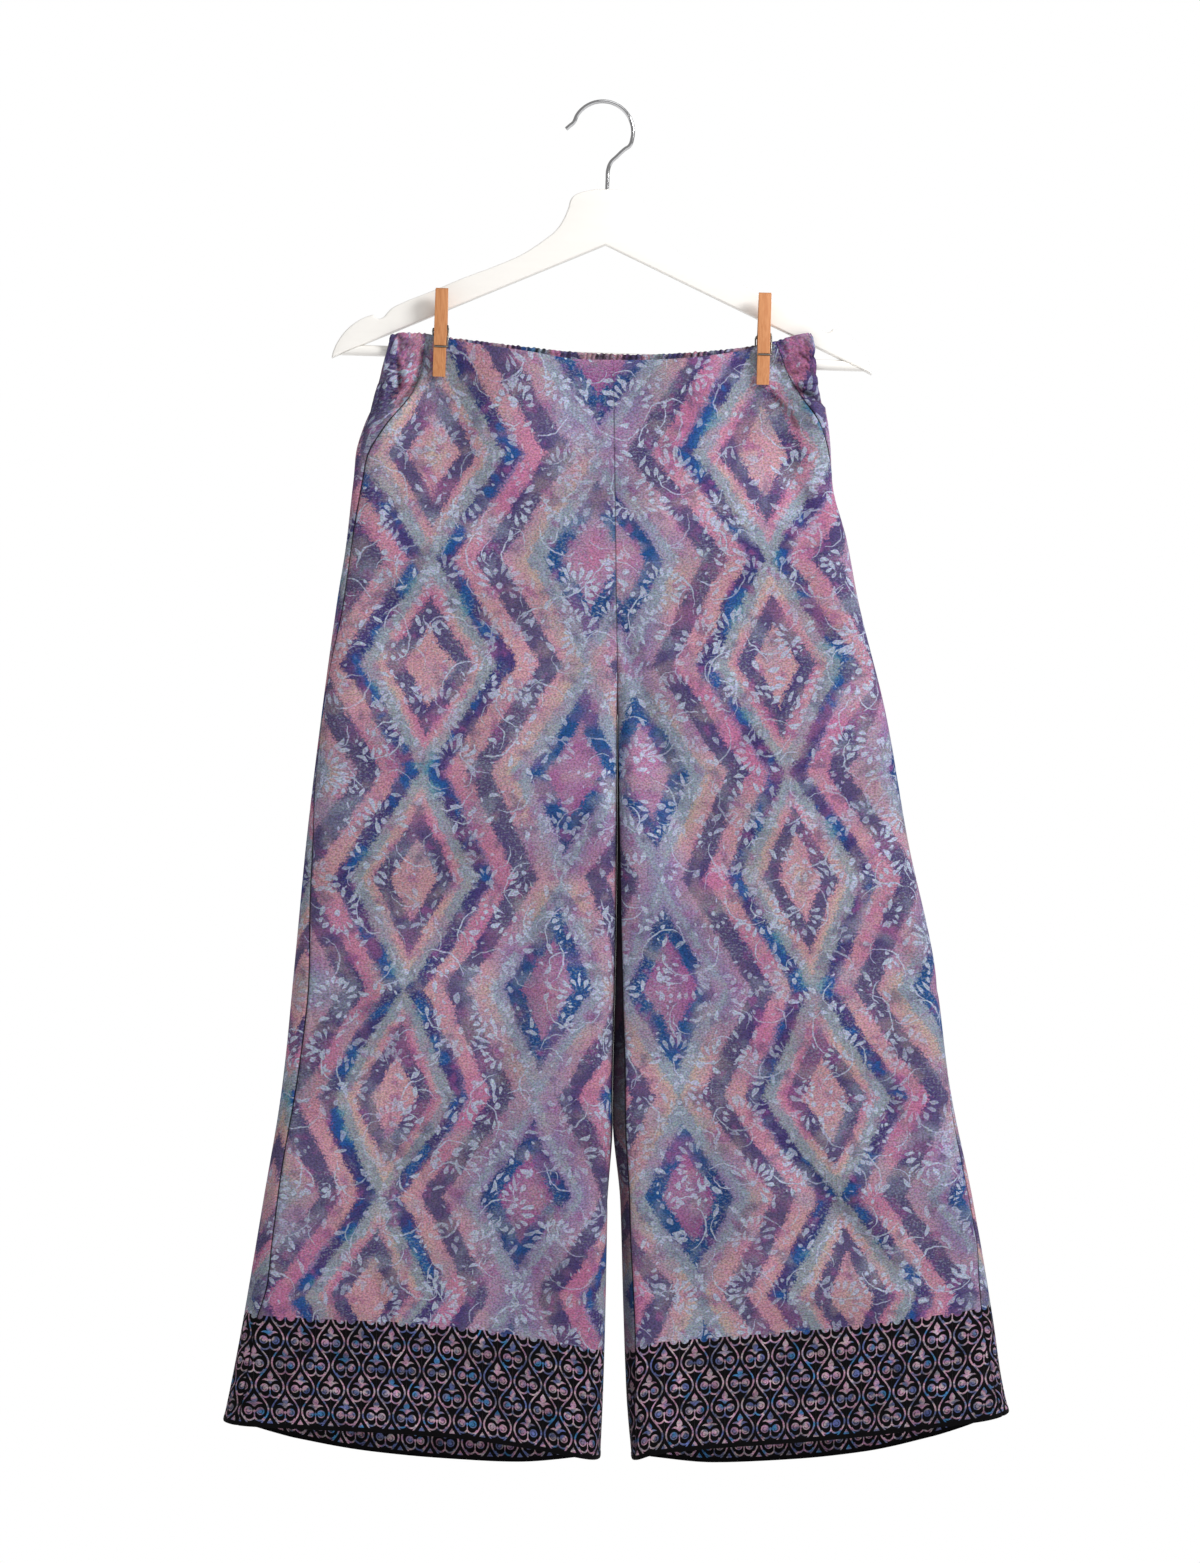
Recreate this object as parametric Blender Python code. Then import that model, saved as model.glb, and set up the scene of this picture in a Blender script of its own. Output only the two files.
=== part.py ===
"""Wide cropped palazzo pants pinned by two clothespins to a trouser hanger.

The frame is in metres with +Z up.  X runs across the garment, the front faces
-Y, and the origin is the inner crown of the hanger's hook, where it hangs.
Sizes in the tables and constants are millimetres.
"""
import math
from bisect import bisect_right
from collections import namedtuple

import bmesh
import bpy
from mathutils import Matrix, Vector

MM = 0.001
GAP = 0.3                # between pieces that meet
SEAM_GAP = 0.36          # between panels, which narrows a little round a fold
OBJECT_NAME = "palazzo_pants_on_hanger"

# ---- the pants ---------------------------------------------------------
WALL = 1.2               # cloth of the panels
WAIST_LEVEL = -214.0     # height of the waist's nominal edge below the hook
LENGTH = 911.0           # waist edge to hem, along a leg
CROTCH_DROP = 295.0      # waist edge to the crotch point
CROTCH_TURN = 70.0       # length over which the centre seams turn under
CASING_HEIGHT = 30.0     # gathered elastic casing of the back waist
WAIST_FADE = 90.0        # the waist edge's sag dies out over this length
HEM_FADE = 151.0         # the hem's dip dies out over this length
SAG_LOW = 4.5            # casing's stitch line above the waist level, centre
SAG_HIGH = 16.0          # and the further rise of that line at the sides
SAG_SPAN = 175.0
INNER_REACH = 16.0       # half-width of the rounding at an inner leg fold

Section = namedtuple(
    "Section", "drop left_fold right_fold left_inner right_inner front back reach")
# left_fold and right_fold are the outer edges, the two inner columns are the
# centre seam and then the inner edges of the legs, front and back the walls'
# depths, and reach the half-width of the rounding at an outer fold
SECTIONS = (
    Section(0, -177.0, 172.3, 7.85, 8.15, -13.6, -6.0, 12),
    Section(15, -182.0, 176.0, 8.05, 8.35, -14.1, -6.0, 14),
    Section(30, -187.0, 178.1, 8.25, 8.55, -14.8, -4.5, 16),
    Section(60, -199.0, 186.4, 8.65, 8.95, -16.2, -0.5, 20),
    Section(80, -205.8, 188.9, 8.85, 9.15, -17.2, 1.7, 22),
    Section(100, -207.8, 189.6, 9.15, 9.45, -18.2, 3.5, 24),
    Section(150, -213.2, 201.8, 9.75, 10.05, -20.0, 6.0, 26),
    Section(200, -221.1, 211.3, 10.35, 10.65, -21.0, 7.5, 28),
    Section(295, -234.2, 234.5, 11.45, 11.75, -21.0, 9.0, 28),
    Section(400, -246.8, 252.8, 10.9, 11.7, -21.5, 10.0, 28),
    Section(500, -256.4, 274.4, 9.5, 10.4, -22.0, 10.5, 28),
    Section(600, -266.5, 286.9, 6.5, 8.6, -23.0, 11.5, 28),
    Section(700, -282.9, 307.0, 3.4, 13.8, -24.0, 13.0, 28),
    Section(800, -299.5, 323.4, 1.3, 16.7, -25.0, 14.5, 28),
    Section(860, -308.7, 330.0, -0.5, 19.0, -25.5, 15.5, 28),
    Section(911, -315.8, 336.6, -2.8, 23.3, -26.0, 16.5, 28),
)

SeamLine = namedtuple("SeamLine", "drop left_side right_side left_inseam right_inseam")
# how far each seam lies from its fold, on the front where it is positive and
# round the fold on the back where it is negative
SEAM_LINES = (
    SeamLine(0, 29.0, 29.0, 0.0, 0.0),
    SeamLine(15, 31.0, 26.0, 0.0, 0.0),
    SeamLine(30, 30.0, 19.0, 0.0, 0.0),
    SeamLine(60, 16.0, 4.5, 0.0, 0.0),
    SeamLine(84, 9.3, 0.8, 0.0, 0.0),
    SeamLine(110, 7.0, -2.2, 0.0, 0.0),
    SeamLine(150, 4.5, -8.0, 0.0, 0.0),
    SeamLine(200, 5.5, -8.0, 0.0, 0.0),
    SeamLine(260, 1.5, -8.0, 0.0, 0.0),
    SeamLine(295, 0.8, -8.0, 0.0, 0.0),
    SeamLine(345, 1.5, -8.0, -1.5, 0.8),
    SeamLine(400, 5.5, -8.0, -2.0, 1.8),
    SeamLine(450, 8.3, -8.0, -2.0, 3.0),
    SeamLine(530, 14.0, -6.0, -2.0, 6.0),
    SeamLine(600, 12.2, 0.5, -2.0, 9.0),
    SeamLine(650, 11.0, 2.6, -2.0, 8.0),
    SeamLine(730, 13.5, 3.0, -2.0, 7.0),
    SeamLine(765, 15.5, 7.0, -2.0, 8.0),
    SeamLine(800, 11.5, 9.0, -2.0, 8.5),
    SeamLine(911, 12.8, 6.0, -2.0, 2.5),
)

WaistEdge = namedtuple("WaistEdge", "across front back")
# rise of the waist edge above its level; it sags between the two clothespins
WAIST_EDGE = (
    WaistEdge(-182, 19.5, 19.5),
    WaistEdge(-165, 22.0, 22.0),
    WaistEdge(-148, 21.3, 21.3),
    WaistEdge(-136, 19.0, 19.2),
    WaistEdge(-110, 13.5, 16.4),
    WaistEdge(-66, 7.0, 11.0),
    WaistEdge(-16, -0.5, 6.0),
    WaistEdge(30, -1.0, 4.4),
    WaistEdge(70, 1.0, 6.0),
    WaistEdge(110, 6.5, 9.6),
    WaistEdge(132, 12.5, 13.0),
    WaistEdge(143, 15.2, 15.2),
    WaistEdge(170, 21.5, 21.5),
    WaistEdge(182, 20.5, 20.5),
)

HemEdge = namedtuple("HemEdge", "outward left_front left_back right_front right_back")
# rise of the hem above its lowest level, from the inner fold (0) to the outer (1)
HEM_EDGE = (
    HemEdge(0.00, 0.0, 0.0, -1.0, -1.0),
    HemEdge(0.06, 3.5, -4.0, 6.0, -4.0),
    HemEdge(0.22, 12.5, -8.0, 11.0, -8.5),
    HemEdge(0.42, 20.5, -5.0, 15.5, -6.0),
    HemEdge(0.62, 24.5, 1.0, 21.0, 0.5),
    HemEdge(0.80, 27.0, 11.0, 28.0, 13.0),
    HemEdge(0.92, 29.0, 21.0, 33.0, 25.0),
    HemEdge(1.00, 31.0, 31.0, 38.0, 38.0),
)

Crease = namedtuple("Crease", "across drop to_across to_drop width depth")
# soft troughs (depth > 0) and ridges (depth < 0) of the front, with their ends
FRONT_CREASES = (
    Crease(16, 225, 50, 330, 16, 4.0),
    Crease(50, 330, 70, 420, 18, 2.5),
    Crease(-52, 440, -88, 600, 20, 4.0),
    Crease(-88, 600, -128, 700, 22, 3.0),
    Crease(-188, 760, -176, 800, 16, 2.5),
    Crease(150, 60, 166, 130, 15, 4.0),
    Crease(247, 490, 275, 525, 15, 3.5),
    Crease(150, 655, 236, 755, 16, 4.5),
    Crease(-60, 380, -30, 560, 18, -2.5),
    Crease(115, 560, 95, 760, 24, -3.0),
    Crease(-150, 250, -170, 480, 26, -2.5),
    Crease(180, 240, 205, 460, 26, -2.5),
)
BACK_CREASES = (
    Crease(-20, 230, -75, 380, 20, 4.0),
    Crease(40, 230, 95, 370, 20, 4.0),
    Crease(-110, 420, -150, 680, 24, 4.0),
    Crease(-215, 520, -235, 700, 20, 3.5),
    Crease(120, 430, 170, 700, 24, 4.5),
    Crease(215, 500, 250, 640, 20, 3.5),
    Crease(-70, 620, -80, 860, 26, -3.5),
    Crease(85, 600, 100, 860, 26, -3.5),
)
BACK_FOLDS = 9           # soft folds falling from the gathers of each back panel
BACK_FOLD_DEPTH = 2.4
BACK_FOLD_START = 32.0
BACK_FOLD_END = 260.0

GATHERS = 96             # gathers of the whole elastic casing
GATHER_DEPTH = 0.5       # each side of its middle
CASING_WALL = 1.2

ROWS = (0, 15, 30, 45, 58, 70, 82, 95, 110, 132, 160, 190, 220, 243, 261, 279, 295,
        315, 345, 380, 415, 450, 485, 520, 555, 590, 625, 660, 695, 730, 765,
        800, 830, 857, 880, 897, 911)
FRONT_COLUMNS = 18
BACK_COLUMNS = 16
FOLD_STEP = 6.0          # wanted column spacing round a fold
PIN_STEP = 10.0          # beside a clothespin
PLAIN_STEP = 20.0        # and elsewhere
COLUMN_SAMPLES = 150

# ---- the hanger --------------------------------------------------------
HANGER_TILT = math.radians(1.8)
HANGER_OFFSET = 5.2      # its middle lies right of the hook's crown
ARM_THICKNESS = 9.0
ARM_EDGE_ROUND = 1.5
BAR_RADIUS = 4.5
BAR_LEVEL = -211.7
APEX_LEVEL = -117.9      # underside of the arms at the middle
ARM_SLOPE = 0.4485       # fall of that underside along each arm
TIP_REACH = 224.5
BAR_SIDES = 18

ArmEdge = namedtuple("ArmEdge", "across height")
# half of the body's upper outline, from the neck to the tip of an arm
ARM_EDGE = (
    ArmEdge(9.5, -71.9),
    ArmEdge(17.0, -73.6),
    ArmEdge(25.5, -76.6),
    ArmEdge(29.3, -80.0),
    ArmEdge(32.2, -89.5),
    ArmEdge(36.8, -100.2),
    ArmEdge(42.3, -108.0),
    ArmEdge(49.9, -114.6),
    ArmEdge(59.5, -121.8),
    ArmEdge(69.7, -128.4),
    ArmEdge(93.3, -139.4),
    ArmEdge(116.3, -148.8),
    ArmEdge(140.0, -159.6),
    ArmEdge(170.3, -173.0),
    ArmEdge(175.8, -176.2),
    ArmEdge(179.6, -180.2),
    ArmEdge(182.6, -183.8),
    ArmEdge(186.0, -184.9),
    ArmEdge(189.4, -183.6),
    ArmEdge(192.4, -182.4),
    ArmEdge(203.0, -187.2),
    ArmEdge(212.0, -194.4),
    ArmEdge(219.2, -204.0),
    ArmEdge(223.4, -213.6),
    ArmEdge(224.5, -218.8),
)
TIP_UNDERSIDE = ArmEdge(214.5, -214.1)

HOOK_WIRE = 3.3          # diameter
CROOK_RADIUS = 25.3
CROOK_CENTRE = (-5.3, -23.65)
CROOK_START = 164.0      # degrees round the crook, over the top
CROOK_END = -26.0
CROOK_STEPS = 17
SHANK_SINK = 12.0        # depth of the shank in the neck

HookPoint = namedtuple("HookPoint", "across height")
HOOK_LIP = (HookPoint(-35.6, -22.2), HookPoint(-32.6, -19.4))
HOOK_SHANK = (HookPoint(13.6, -37.6), HookPoint(7.2, -43.9), HookPoint(2.2, -49.3),
              HookPoint(0.2, -55.5), HookPoint(0.0, -63.0))

# ---- the clothespins ---------------------------------------------------
PIN_WIDTH = 10.4
LEVER_THICKNESS = 6.2
COIL_RADIUS = 2.9        # outside of the spring's coil
SPRING_WIRE = 1.4
COIL_TURNS = 5
COIL_STEPS = 8           # points of each turn
FACE_OFFSET = 2.6        # coil's middle to a lever's inner face
JAW_LENGTH = 40.0        # coil to the jaw's tip
FRONT_LEAN = math.radians(7.0)
OPENING = math.radians(20.0)
HANDLE_TAPER = 3.7
TAPER_START = 6.0
TIP_THICKNESS = 4.4
TIP_TAPER = 15.0
GROOVE_FROM_TIP = 25.0
GROOVE_DEPTH = 0.8
GROOVE_WIDTH = 2.0
PINNED_FRONT = -8.5      # front cloth's middle plane under the lever
PINNED_BACK = -6.3
LEVER_FACE = PINNED_FRONT - WALL / 2 - GAP
PIN_HOLD = 11.0          # half-width of cloth held flat by a pin
PIN_DRAPE = 58.0         # and the half-width at which it hangs free again
PIN_REST = 12.0          # length below the tip still flat against the pin's plane
PIN_FALL = 100.0         # and the length over which it then falls free

Pin = namedtuple("Pin", "name across lean length tip_below_bar")
PINS = (
    Pin("clothespin_left", -135.7, math.radians(2.3), 72.0, 20.6),
    Pin("clothespin_right", 132.3, math.radians(1.2), 75.0, 18.9),
)


# ---- small tools -------------------------------------------------------
def mix(low, high, share):
    return low + (high - low) * share


def clamp(value, low=0.0, high=1.0):
    return max(low, min(high, value))


def ease(share):
    share = clamp(share)
    return share * share * (3.0 - 2.0 * share)


def limited_slope(before, after):
    """Slope at a table row that never overshoots its neighbours."""
    if before * after <= 0.0:
        return 0.0
    return 2.0 * before * after / (before + after)


def column_reader(rows, key, name):
    """Return a smooth function of the key column that passes every row."""
    at = [float(getattr(row, key)) for row in rows]
    value = [float(getattr(row, name)) for row in rows]
    steps = [(value[i + 1] - value[i]) / (at[i + 1] - at[i]) for i in range(len(at) - 1)]
    slopes = [steps[0]]
    slopes += [limited_slope(steps[i - 1], steps[i]) for i in range(1, len(steps))]
    slopes.append(steps[-1])

    def read(position):
        position = clamp(position, at[0], at[-1])
        i = min(bisect_right(at, position) - 1, len(at) - 2)
        span = at[i + 1] - at[i]
        t = (position - at[i]) / span
        rise = value[i + 1] - value[i]
        start = slopes[i] * span
        end = slopes[i + 1] * span
        return value[i] + t * (start + t * (3 * rise - 2 * start - end
                                            + t * (start + end - 2 * rise)))

    return read


def readers(rows, key):
    names = [name for name in rows[0]._fields if name != key]
    return {name: column_reader(rows, key, name) for name in names}


SECTION_AT = readers(SECTIONS, "drop")
SEAM_AT = readers(SEAM_LINES, "drop")
WAIST_AT = readers(WAIST_EDGE, "across")
HEM_AT = readers(HEM_EDGE, "outward")


def ellipse_quarter(half_width, half_depth):
    return math.pi / 2 * math.sqrt((half_width ** 2 + half_depth ** 2) / 2)


def bar_height(across):
    """Height of the tilted trouser bar's middle line at a place across it."""
    tilt = math.tan(HANGER_TILT)
    middle = HANGER_OFFSET + BAR_LEVEL * math.sin(HANGER_TILT)
    return BAR_LEVEL * math.cos(HANGER_TILT) - (HANGER_OFFSET + across - middle) * tilt


def from_hanger(across, height):
    """Turn a place in the hanger's own upright frame to the tilted one."""
    across += HANGER_OFFSET
    cos, sin = math.cos(HANGER_TILT), math.sin(HANGER_TILT)
    return across * cos + height * sin, height * cos - across * sin


# ---- the form of the pants ---------------------------------------------
class Half:
    """One side of the pants: its cross-section at any drop below the waist.

    A place round the section is a length: it starts at the centre seam or the
    inner fold, runs out over the front, round the outer fold and back behind.
    """

    def __init__(self, side):
        self.side = side
        self.sign = -1.0 if side == "left" else 1.0
        self.kept = {}

    def section(self, drop):
        if drop not in self.kept:
            self.kept[drop] = self.measure(drop)
        return self.kept[drop]

    def measure(self, drop):
        turn = clamp((drop - CROTCH_DROP + CROTCH_TURN) / CROTCH_TURN)
        turned = turn * math.pi / 2
        inner = SECTION_AT[self.side + "_inner"](drop)
        inner += self.sign * WALL / 2 * math.sin(turned)
        outer = SECTION_AT[self.side + "_fold"](drop) - self.sign * WALL / 2
        depth = (SECTION_AT["back"](drop) - SECTION_AT["front"](drop)) / 2
        reach = SECTION_AT["reach"](drop)
        width = self.sign * (outer - inner)
        inner_reach = mix(0.4, 1.0, turn) * INNER_REACH
        inner_arc = ellipse_quarter(inner_reach, depth) * turn
        run = width - reach - inner_reach * math.sin(turned)
        outer_arc = 2 * ellipse_quarter(reach, depth)
        return {
            "inner": inner, "width": width, "turned": turned, "reach": reach,
            "inner_reach": inner_reach, "inner_arc": inner_arc, "run": run,
            "outer_arc": outer_arc, "length": 2 * (inner_arc + run) + outer_arc,
        }

    def place(self, cut, along):
        """Return how far out a place lies and which way it faces (1 front, -1 back)."""
        total = cut["length"]
        if along < 0.0:
            along += total
        elif along > total:
            along -= total
        behind = along > total / 2
        if behind:
            along = total - along
        arc, run = cut["inner_arc"], cut["run"]
        if along < arc:
            angle = cut["turned"] * (1.0 - along / arc)
            out = cut["inner_reach"] * (math.sin(cut["turned"]) - math.sin(angle))
            facing = math.cos(angle)
        elif along < arc + run:
            out = cut["inner_reach"] * math.sin(cut["turned"]) + along - arc
            facing = 1.0
        else:
            angle = (along - arc - run) / cut["outer_arc"] * math.pi
            out = cut["width"] - cut["reach"] * (1.0 - math.sin(angle))
            facing = math.cos(angle)
        return out, (-facing if behind else facing)

    def side_seam(self, drop):
        cut = self.section(drop)
        inset = SEAM_AT[self.side + "_side"](drop)
        over = max(0.0, abs(inset) - cut["reach"])
        angle = math.asin(clamp(1.0 - abs(inset) / cut["reach"]))
        from_front = cut["outer_arc"] * angle / math.pi - over
        if inset < 0.0:
            from_front = cut["outer_arc"] - from_front
        return cut["inner_arc"] + cut["run"] + from_front

    def inseam(self, drop):
        cut = self.section(drop)
        inset = SEAM_AT[self.side + "_inseam"](drop)
        if inset == 0.0:
            return 0.0
        angle = math.asin(clamp(1.0 - abs(inset) / cut["inner_reach"]))
        along = cut["inner_arc"] * (1.0 - angle / (math.pi / 2))
        return math.copysign(along, inset)

    def height(self, drop, across, facing, outward):
        behind = (1.0 - facing) / 2
        edge = mix(WAIST_AT["front"](across), WAIST_AT["back"](across), behind)
        smooth = SAG_LOW + SAG_HIGH * (across / SAG_SPAN) ** 2
        rise = mix(edge, smooth, ease(drop / CASING_HEIGHT))
        rise *= clamp(1.0 - drop / WAIST_FADE) ** 2
        hem = mix(HEM_AT[self.side + "_front"](outward),
                  HEM_AT[self.side + "_back"](outward), behind)
        rise += hem * clamp((drop - LENGTH + HEM_FADE) / HEM_FADE) ** 2
        return WAIST_LEVEL - drop + rise

    def folds_of_back(self, drop, outward):
        strength = ease((drop - BACK_FOLD_START) / 40.0)
        strength *= 1.0 - ease((drop - 80.0) / (BACK_FOLD_END - 80.0))
        unevenness = 0.75 + 0.35 * math.sin(5.3 * outward + self.sign)
        return BACK_FOLD_DEPTH * strength * unevenness * math.sin(
            math.pi * BACK_FOLDS * outward ** 1.08)

    def point(self, along, drop):
        """The cloth's middle surface, as a vector in millimetres."""
        cut = self.section(drop)
        out, facing = self.place(cut, along)
        across = cut["inner"] + self.sign * out
        outward = clamp(out / cut["width"])
        height = self.height(drop, across, facing, outward)
        front = SECTION_AT["front"](drop) + creases(FRONT_CREASES, across, height)
        back = SECTION_AT["back"](drop) - creases(BACK_CREASES, across, height)
        back += self.folds_of_back(drop, outward)
        for pin in PINS:
            held, above_bar = pin_hold(pin, across, height)
            slope = -above_bar * math.tan(FRONT_LEAN)
            front = mix(front, PINNED_FRONT + slope, held)
            back = mix(back, PINNED_BACK + max(0.0, slope), held)
        depth = (back - front) / 2
        return Vector((across, (front + back) / 2 - depth * facing, height))

    def outward_normal(self, along, drop):
        """Level direction out of the cloth, square to its section there."""
        step = 0.4
        cut = self.section(drop)
        low, high = along - step, along + step
        if cut["turned"] < math.pi / 2:
            low, high = max(0.0, low), min(cut["length"], high)
        run = self.point(high, drop) - self.point(low, drop)
        return self.sign * Vector((run.y, -run.x, 0.0)).normalized()

    def columns(self, drop, start, end, count):
        """Spread a panel's columns, closer round the folds and beside the pins."""
        cut = self.section(drop)
        filled = [0.0]
        for i in range(COLUMN_SAMPLES):
            along = mix(start, end, (i + 0.5) / COLUMN_SAMPLES)
            out, facing = self.place(cut, along)
            across = cut["inner"] + self.sign * out
            step = PLAIN_STEP
            if min(abs(across - pin.across) for pin in PINS) < 2 * PIN_HOLD:
                step = PIN_STEP
            if abs(facing) < 0.999:
                step = FOLD_STEP
            filled.append(filled[-1] + 1.0 / step)
        places = []
        for column in range(count + 1):
            wanted = filled[-1] * column / count
            i = min(bisect_right(filled, wanted) - 1, COLUMN_SAMPLES - 1)
            share = (wanted - filled[i]) / (filled[i + 1] - filled[i])
            places.append(mix(start, end, (i + share) / COLUMN_SAMPLES))
        return places


def creases(rows, across, height):
    """Depth pushed into the cloth by the soft troughs near a place."""
    total = 0.0
    drop = WAIST_LEVEL - height
    for row in rows:
        run = Vector((row.to_across - row.across, row.to_drop - row.drop))
        reach = Vector((across - row.across, drop - row.drop))
        share = clamp(reach.dot(run) / run.length_squared)
        distance = (reach - share * run).length / row.width
        total += row.depth * math.exp(-distance * distance)
    return total


def pin_hold(pin, across, height):
    """How firmly a clothespin holds the cloth at a place, and the height above the bar."""
    above_bar = height - bar_height(pin.across)
    off = abs(across - pin.across - math.tan(pin.lean) * above_bar)
    sideways = 1.0 - ease((off - PIN_HOLD) / (PIN_DRAPE - PIN_HOLD))
    below_tip = -above_bar - pin.tip_below_bar - PIN_REST
    held = sideways * (1.0 - ease(below_tip / PIN_FALL))
    return held, max(above_bar, -pin.tip_below_bar - PIN_REST)


# ---- meshes ------------------------------------------------------------
def finish(name, colour, roughness, metallic=0.0):
    material = bpy.data.materials.new(name)
    material.use_nodes = True
    shader = material.node_tree.nodes["Principled BSDF"]
    shader.inputs["Base Color"].default_value = (*colour, 1.0)
    shader.inputs["Roughness"].default_value = roughness
    shader.inputs["Metallic"].default_value = metallic
    material.diffuse_color = (*colour, 1.0)
    return material


def add_object(name, data, material, collection):
    data.materials.append(material)
    item = bpy.data.objects.new(name, data)
    collection.objects.link(item)
    return item


def cloth_wall(name, middle, normals, wall, material, collection):
    """Loft a closed wall of cloth through rows of middle points and normals."""
    shell = bmesh.new()
    sheets = []
    for offset in (wall / 2, -wall / 2):
        sheets.append([[shell.verts.new((point + normal * offset) * MM)
                        for point, normal in zip(points, directions)]
                       for points, directions in zip(middle, normals)])
    outer, inner = sheets
    rows, columns = len(outer), len(outer[0])
    for i in range(rows - 1):
        for j in range(columns - 1):
            shell.faces.new((outer[i][j], outer[i + 1][j],
                             outer[i + 1][j + 1], outer[i][j + 1]))
            shell.faces.new((inner[i][j], inner[i][j + 1],
                             inner[i + 1][j + 1], inner[i + 1][j]))
        for j in (0, columns - 1):
            shell.faces.new((outer[i][j], inner[i][j], inner[i + 1][j], outer[i + 1][j]))
    for j in range(columns - 1):
        for i in (0, rows - 1):
            shell.faces.new((outer[i][j], outer[i][j + 1], inner[i][j + 1], inner[i][j]))
    bmesh.ops.recalc_face_normals(shell, faces=shell.faces)
    bmesh.ops.triangulate(shell, faces=shell.faces)
    mesh = bpy.data.meshes.new(name)
    shell.to_mesh(mesh)
    shell.free()
    mesh.shade_smooth()
    mesh.set_sharp_from_angle(angle=math.radians(50))
    return add_object(name, mesh, material, collection)


def panel(name, half, front, material, collection):
    """One leg panel, from its inner seam to its side seam."""
    middle, normals = [], []
    for row in ROWS:
        drop = float(row)
        if not front and row < CASING_HEIGHT:
            continue
        if not front and row == CASING_HEIGHT:
            drop += GAP
        cut = half.section(drop)
        seam, inseam = half.side_seam(drop), half.inseam(drop)
        if front:
            places = half.columns(drop, inseam + SEAM_GAP / 2, seam - SEAM_GAP / 2, FRONT_COLUMNS)
        else:
            places = half.columns(drop, seam + SEAM_GAP / 2,
                                  cut["length"] + inseam - SEAM_GAP / 2, BACK_COLUMNS)
        middle.append([half.point(along, drop) for along in places])
        normals.append([half.outward_normal(along, drop) for along in places])
    return cloth_wall(name, middle, normals, WALL, material, collection)


def casing(name, halves, material, collection):
    """The gathered elastic casing, from one side seam round the back to the other."""
    middle, normals = [], []
    for drop in (0.0, CASING_HEIGHT / 2, CASING_HEIGHT):
        stretches = []
        for half in halves:
            start = half.side_seam(drop) + SEAM_GAP / 2
            stretches.append((half, start, half.section(drop)["length"]))
        points, directions = [], []
        lengths = [end - start for _, start, end in stretches]
        steps = 2 * GATHERS
        for step in range(steps + 1):
            along = sum(lengths) * step / steps
            if along <= lengths[0]:
                half, start, _ = stretches[0]
                along += start
            else:
                half, _, end = stretches[1]
                along = end - (along - lengths[0])
            normal = half.outward_normal(along, drop)
            depth = GATHER_DEPTH * (0.8 + 0.2 * math.sin(0.37 * step))
            if drop == CASING_HEIGHT:
                depth *= 0.6
            depth *= 1.0 if step % 2 else -1.0
            points.append(half.point(along, drop) + normal * depth)
            directions.append(normal)
        middle.append(points)
        normals.append(directions)
    return cloth_wall(name, middle, normals, CASING_WALL, material, collection)


def smooth_path(points, steps):
    """Read a curve that passes through every point of a list."""
    ends = [points[0] * 2 - points[1]] + list(points) + [points[-1] * 2 - points[-2]]
    path = []
    for i in range(1, len(ends) - 2):
        a, b, c, d = ends[i - 1:i + 3]
        for step in range(steps):
            t = step / steps
            path.append(0.5 * (2 * b + (c - a) * t + (2 * a - 5 * b + 4 * c - d) * t ** 2
                               + (3 * b - a - 3 * c + d) * t ** 3))
    return path + [points[-1]]


def wire(name, points, diameter, material, collection):
    """A wire of round section with filled ends, through points in millimetres."""
    curve = bpy.data.curves.new(name, "CURVE")
    curve.dimensions = "3D"
    curve.bevel_depth = diameter / 2 * MM
    curve.bevel_resolution = 2
    curve.use_fill_caps = True
    spline = curve.splines.new("POLY")
    spline.points.add(len(points) - 1)
    for point, place in zip(spline.points, points):
        point.co = (*(place * MM), 1.0)
    spline.use_smooth = True
    return add_object(name, curve, material, collection)


def outline_curve(name, points, thickness, round_edge=0.0):
    """A flat outline in the XY plane, filled and given its thickness along Z."""
    curve = bpy.data.curves.new(name, "CURVE")
    curve.dimensions = "2D"
    curve.fill_mode = "BOTH"
    curve.extrude = (thickness / 2 - round_edge) * MM
    curve.bevel_depth = round_edge * MM
    curve.bevel_resolution = 1
    curve.offset = -round_edge * MM
    spline = curve.splines.new("POLY")
    spline.points.add(len(points) - 1)
    for point, (across, up) in zip(spline.points, points):
        point.co = (across * MM, up * MM, 0.0, 1.0)
    spline.use_cyclic_u = True
    return curve


# ---- the hanger --------------------------------------------------------
def hanger_frame():
    """Place of the hanger's upright outline: its plane stood up and tilted."""
    upright = Matrix.Rotation(math.pi / 2, 4, "X")
    tilt = Matrix.Rotation(HANGER_TILT, 4, "Y")
    return tilt @ Matrix.Translation((HANGER_OFFSET * MM, 0.0, 0.0)) @ upright


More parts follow.
